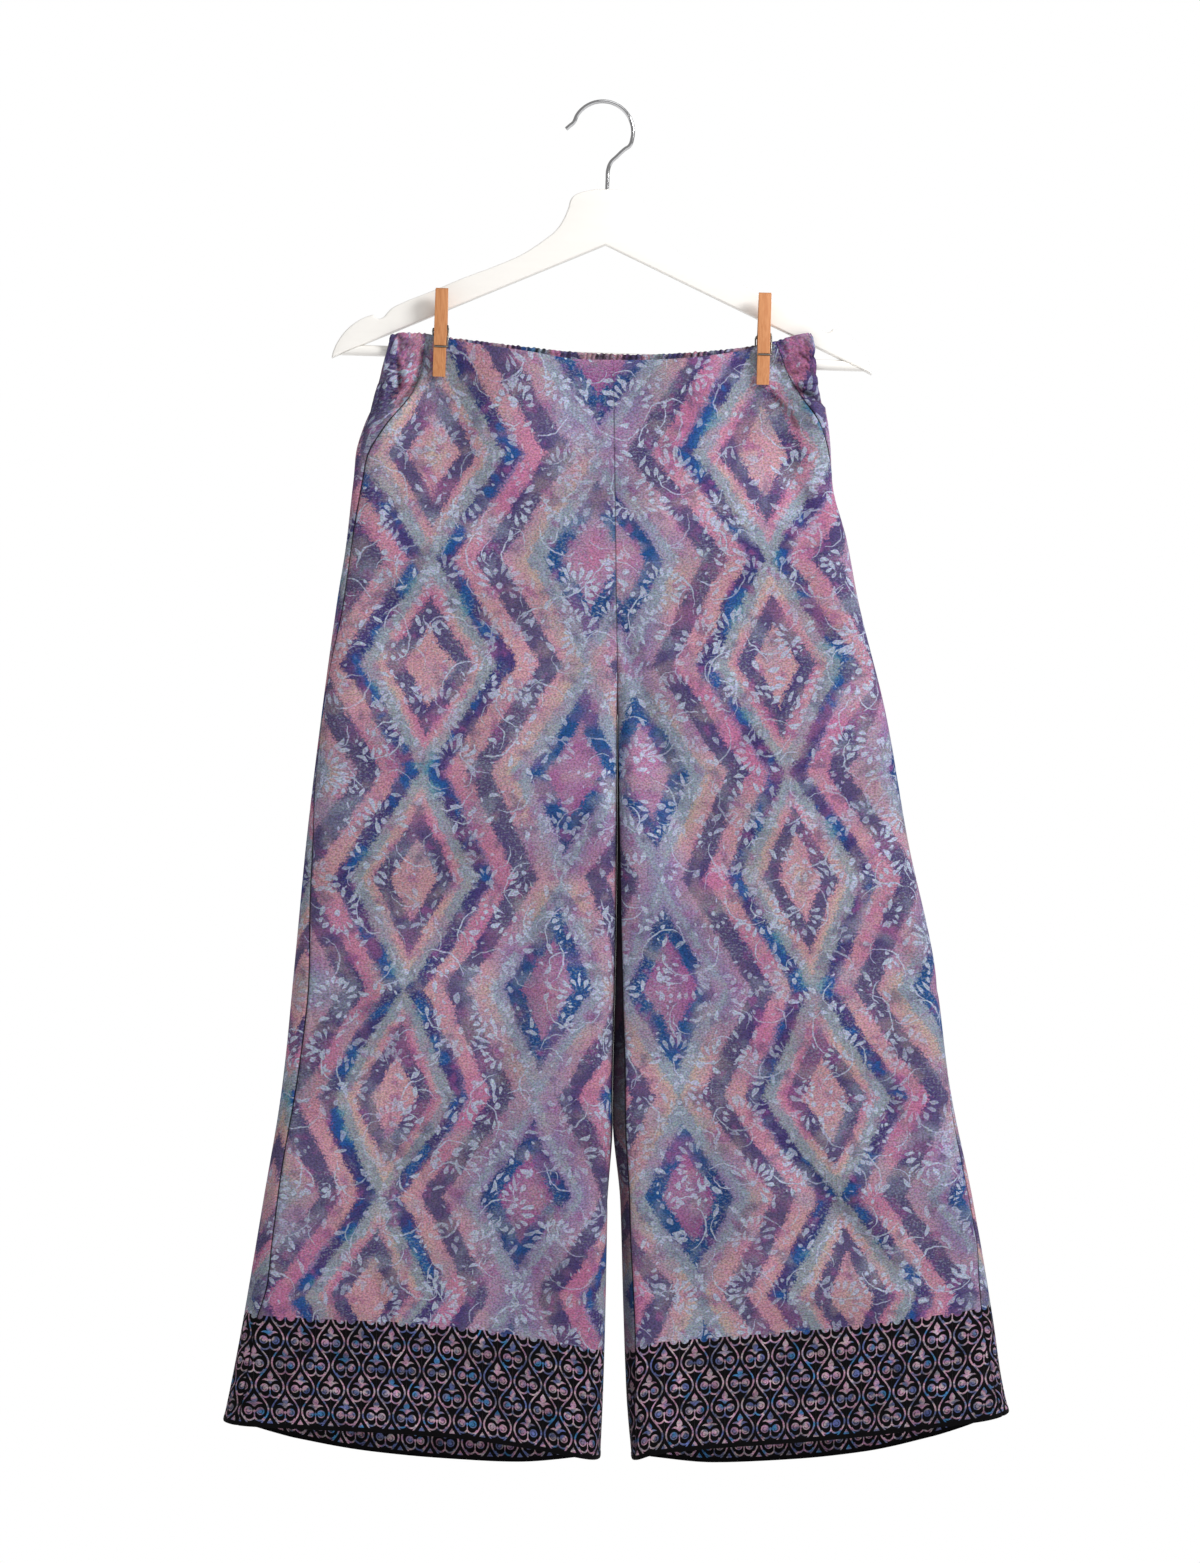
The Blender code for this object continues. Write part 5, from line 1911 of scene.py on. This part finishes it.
# ---- the clothespins -------------------------------------------------------
@dataclass
class Clothespin:
    """A wooden clothespin: two levers and the spring between them."""

    pin: Pin
    wood: bpy.types.Material
    steel: bpy.types.Material
    width: float = 10.4
    thickness: float = 6.2
    coil_radius: float = 2.9
    wire: float = 1.4
    turns: int = 5
    turn_points: int = 12
    face: float = 2.6
    jaw: float = 40.0
    back_lean: float = FRONT_LEAN + math.radians(20.0)
    taper: float = 3.7
    taper_start: float = 6.0
    tip_thickness: float = 4.4
    tip_taper: float = 15.0
    groove_from_tip: float = 25.0
    groove_depth: float = 0.8
    groove_width: float = 2.0
    edge_round: float = 0.35

    def build(self) -> None:
        """Build the levers and the spring."""
        self.levers()
        self.spring()

    def coil_centre(self) -> tuple[float, float]:
        """Find the coil.

        Returns:
            Its depth and its height above the bar.
        """
        face_plane = PINNED_FRONT - WALL / 2 - GAP
        grip = self.jaw - self.pin.tip_below_bar
        cos, sin = math.cos(FRONT_LEAN), math.sin(FRONT_LEAN)
        return face_plane + self.face * cos - grip * sin, grip * cos + self.face * sin

    def place(self) -> Matrix:
        """Place the coil's middle, leaned as the pin is.

        Returns:
            The matrix from the pin's own frame to the hanging hanger's.
        """
        depth, height = self.coil_centre()
        centre = Vector((self.pin.across, 0.0, bar_height(self.pin.across))) * MM
        return (Matrix.Translation(centre) @ Matrix.Rotation(self.pin.lean, 4, "Y")
                @ Matrix.Translation(Vector((0.0, depth, height)) * MM))

    def hollow(self, centre: tuple[float, float], radius: float, steps: int) -> list[Corner]:
        """Draw the round hollow that a circle leaves in a lever's inner face.

        Args:
            centre: Middle of the hollow.
            radius: Its radius.
            steps: How many steps it is drawn in.

        Returns:
            The corners.
        """
        half = math.acos((self.face - centre[1]) / radius)
        angles = [mix(math.pi / 2 + half, math.pi / 2 - half, step / steps)
                  for step in range(steps + 1)]
        return [Corner(centre[0] + radius * math.cos(angle), centre[1] + radius * math.sin(angle))
                for angle in angles]

    def outline(self, notch: Optional[tuple[float, float]]) -> list[Corner]:
        """Draw a lever's side outline, from the jaw's tip to the handle and back.

        Args:
            notch: Middle of the bar that the lever is hollowed for, or None.

        Returns:
            The corners: along the lever from the coil, and out from the coil's plane.
        """
        face, back = self.face, self.face + self.thickness
        handle = self.pin.length - self.jaw
        groove = self.groove_from_tip - self.jaw
        half = self.groove_width / 2
        for_bar = self.hollow(notch, BAR_RADIUS + GAP, 12) if notch else []
        return [
            Corner(-self.jaw, face + 0.4), Corner(-self.jaw + 1.5, face), *for_bar,
            *self.hollow((0.0, 0.0), self.coil_radius + GAP, 8),
            Corner(self.taper_start, face), Corner(handle, face + self.taper),
            Corner(handle, back - 0.5), Corner(handle - 0.6, back),
            Corner(groove + half, back), Corner(groove + half, back - self.groove_depth),
            Corner(groove - half, back - self.groove_depth), Corner(groove - half, back),
            Corner(self.tip_taper - self.jaw, back),
            Corner(-self.jaw, face + self.tip_thickness)]

    def levers(self) -> None:
        """Build the two levers."""
        depth, height = self.coil_centre()
        cos, sin = math.cos(self.back_lean), math.sin(self.back_lean)
        notch = (depth * sin - height * cos, -depth * cos - height * sin)
        for word, lean, outward, hollow in (("front_lever", FRONT_LEAN, -1.0, None),
                                            ("back_lever", self.back_lean, 1.0, notch)):
            along = Vector((0.0, -math.sin(lean), math.cos(lean)))
            out = Vector((0.0, math.cos(lean), math.sin(lean))) * outward
            axes = Matrix((along, out, along.cross(out))).transposed().to_4x4()
            name = f"{self.pin.name}_wood_{word}"
            mesh = plate(name, self.outline(hollow), self.width, self.edge_round,
                         self.place() @ axes)
            add_piece(name, mesh, self.wood, f"{self.pin.name}_{word}")

    def spring_arm(self, lean: float, outward: float, hand: float, side: float) -> list[Vector]:
        """Bend the spring's arm over one lever.

        Args:
            lean: The lever's lean.
            outward: -1 for the front lever, 1 for the back one.
            hand: Side that the arm comes down on.
            side: How far the coil's end lies from the pin's middle.

        Returns:
            Points from the arm's tip in the lever's groove to the coil.
        """
        down = Vector((0.0, math.sin(lean), -math.cos(lean)))
        out = Vector((0.0, math.cos(lean), math.sin(lean))) * outward
        over = self.face + self.thickness - self.groove_depth + self.wire / 2 + GAP
        groove = down * (self.jaw - self.groove_from_tip) + out * over
        # how far each point of the bend lies in from the coil's end, inwards and upwards
        bend = ((0.9, 0.0, 0.0), (0.25, 0.25, 0.0), (0.0, 0.9, 0.0), (0.0, 2.4, 1.0))
        return [Vector((-hand * (side - 1.6), 0.0, 0.0)) + groove] + [
            Vector((hand * (side - inset), 0.0, 0.0)) + groove - out * inward - down * up
            for inset, inward, up in bend]

    def spring(self) -> None:
        """Wind the spring: an arm over each lever and the coil between them."""
        radius = self.coil_radius - self.wire / 2
        side = self.width / 2 + self.wire / 2 + GAP
        route = self.spring_arm(FRONT_LEAN, -1.0, 1.0, side)
        start = math.atan2(-1.0, -2.2)
        steps = self.turns * self.turn_points
        for step in range(steps + 1):
            angle = start - 2 * math.pi * self.turns * step / steps
            route.append(Vector((mix(side, -side, step / steps), radius * math.cos(angle),
                                 radius * math.sin(angle))))
        route += reversed(self.spring_arm(self.back_lean, 1.0, -1.0, side))
        place = self.place()
        name = f"{self.pin.name}_wire_spring"
        curve = wire_curve(name, [place @ (point * MM) for point in route], self.wire, 3)
        add_piece(name, curve, self.steel, f"{self.pin.name}_spring")


# ---- the studio ------------------------------------------------------------
@dataclass
class Studio:
    """A plain pale floor, soft light from the right, and the camera of the photo."""

    floor_level: float = -1.55
    floor_size: float = 14.0
    sky_light: float = 0.34
    floor_fade: tuple[float, float] = (0.5, 1.4)
    camera_place: tuple[float, float, float] = (-0.003, -3.0, -0.564)
    sensor: float = 24.0
    seen_height: float = 1.297
    seen_distance: float = 2.993

    def build(self) -> None:
        """Set the floor, the sky, the lamps and the camera."""
        self.floor()
        self.sky()
        self.lamp("key_lamp", (1.4, -1.15, 0.6), 0.6, 32.0)
        self.lamp("top_lamp", (0.5, -0.9, 1.6), 1.2, 7.0)
        self.camera()

    def floor(self) -> None:
        """Lay the floor, which fades into the backdrop."""
        floor = bmesh.new()
        bmesh.ops.create_grid(floor, x_segments=1, y_segments=1, size=self.floor_size / 2,
                              matrix=Matrix.Translation((0.0, 0.0, self.floor_level)))
        mesh = bpy.data.meshes.new("pale_floor")
        floor.to_mesh(mesh)
        floor.free()
        board = Board("pale_floor", roughness=0.9)
        place = board.place()
        x, y = place.split()
        board.drive("Base Color", board.blend(place.noise(3.0), ink(238, 237, 235),
                                              ink(244, 243, 242)))
        glow = board.node("ShaderNodeEmission", None, {"Strength": 1.0})
        faded = board.node("ShaderNodeMixShader", None, {
            0: x.hypot(y).soft(*self.floor_fade), 1: Signal(board, board.shader.outputs[0]),
            2: glow})
        board.tree.links.new(faded.socket,
                             board.tree.nodes["Material Output"].inputs["Surface"])
        mesh.materials.append(board.material)
        linked("pale_floor", mesh)

    def sky(self) -> None:
        """Light the scene from a pale sky, which the camera sees as white."""
        world = bpy.data.worlds.new("pale_sky")
        world.use_nodes = True
        nodes, links = world.node_tree.nodes, world.node_tree.links
        light = nodes["Background"]
        light.inputs["Color"].default_value = (1.0, 0.99, 0.98, 1.0)
        light.inputs["Strength"].default_value = self.sky_light
        backdrop = nodes.new("ShaderNodeBackground")
        backdrop.inputs["Color"].default_value = (1.0, 1.0, 1.0, 1.0)
        either = nodes.new("ShaderNodeMixShader")
        links.new(nodes.new("ShaderNodeLightPath").outputs["Is Camera Ray"], either.inputs[0])
        links.new(light.outputs[0], either.inputs[1])
        links.new(backdrop.outputs[0], either.inputs[2])
        links.new(either.outputs[0], nodes["World Output"].inputs["Surface"])
        bpy.context.scene.world = world

    def camera(self) -> None:
        """Set the camera level with the garment, as the photo's stood."""
        camera = bpy.data.cameras.new("photo_camera")
        camera.sensor_fit = "VERTICAL"
        camera.sensor_height = self.sensor
        camera.lens = self.sensor * self.seen_distance / self.seen_height
        view = linked("photo_camera", camera)
        view.location = self.camera_place
        view.rotation_euler = (math.pi / 2, 0.0, 0.0)
        bpy.context.scene.camera = view
        bpy.context.scene.view_settings.view_transform = "Standard"

    @staticmethod
    def lamp(name: str, place: tuple[float, float, float], size: float,
             power: float) -> None:
        """Add a soft square lamp aimed at the garment's middle.

        Args:
            name: Name of the lamp.
            place: Where it stands.
            size: Width of its square face.
            power: Its power in watts.
        """
        light = bpy.data.lights.new(name, "AREA")
        light.size = size
        light.energy = power
        lamp = linked(name, light)
        lamp.location = place
        aim = Vector((0.0, 0.0, -0.6)) - Vector(place)
        lamp.rotation_euler = aim.to_track_quat("-Z", "Y").to_euler()


# ---- assembly --------------------------------------------------------------
def main() -> None:
    """Build every piece in order."""
    logging.basicConfig(level=logging.INFO, format="%(name)s: %(message)s")
    Studio().build()

    cloth = PrintedCloth().build()
    for face, grid, flat, areas in ((Face.FRONT, (150, 305), (0.335, 0.925), (0.234, 0.226)),
                                    (Face.BACK, (155, 290), (0.36, 0.90), (0.248, 0.237))):
        for side, area in zip(Side, areas):
            name = f"{face.value}_{side.name.lower()}"
            LegPanel(name=name, node=name, material=cloth, columns=grid[0], rows=grid[1],
                     flat=flat, area=area, form=LegForm(side), face=face).build()
    WaistCasing(name="casing", node="back_waist_casing", material=cloth, columns=GATHERS * 7,
                rows=14, flat=(0.62, 0.031), area=0.0165).build()

    lacquer = Lacquer().build()
    Hanger(lacquer, Metal("bright_wire", ink(205, 205, 207), 0.16).build()).build()
    steel = Metal("spring_steel", ink(132, 129, 124), 0.32).build()
    woods = (Wood("clothespin_wood_left", ink(206, 142, 92), ink(188, 122, 74)),
             Wood("clothespin_wood_right", ink(210, 145, 97), ink(196, 128, 80)))
    for pin, wood in zip(PINS, woods):
        Clothespin(pin, wood.build(), steel).build()

    LOG.info("boxes written")


if __name__ == "__main__":
    main()
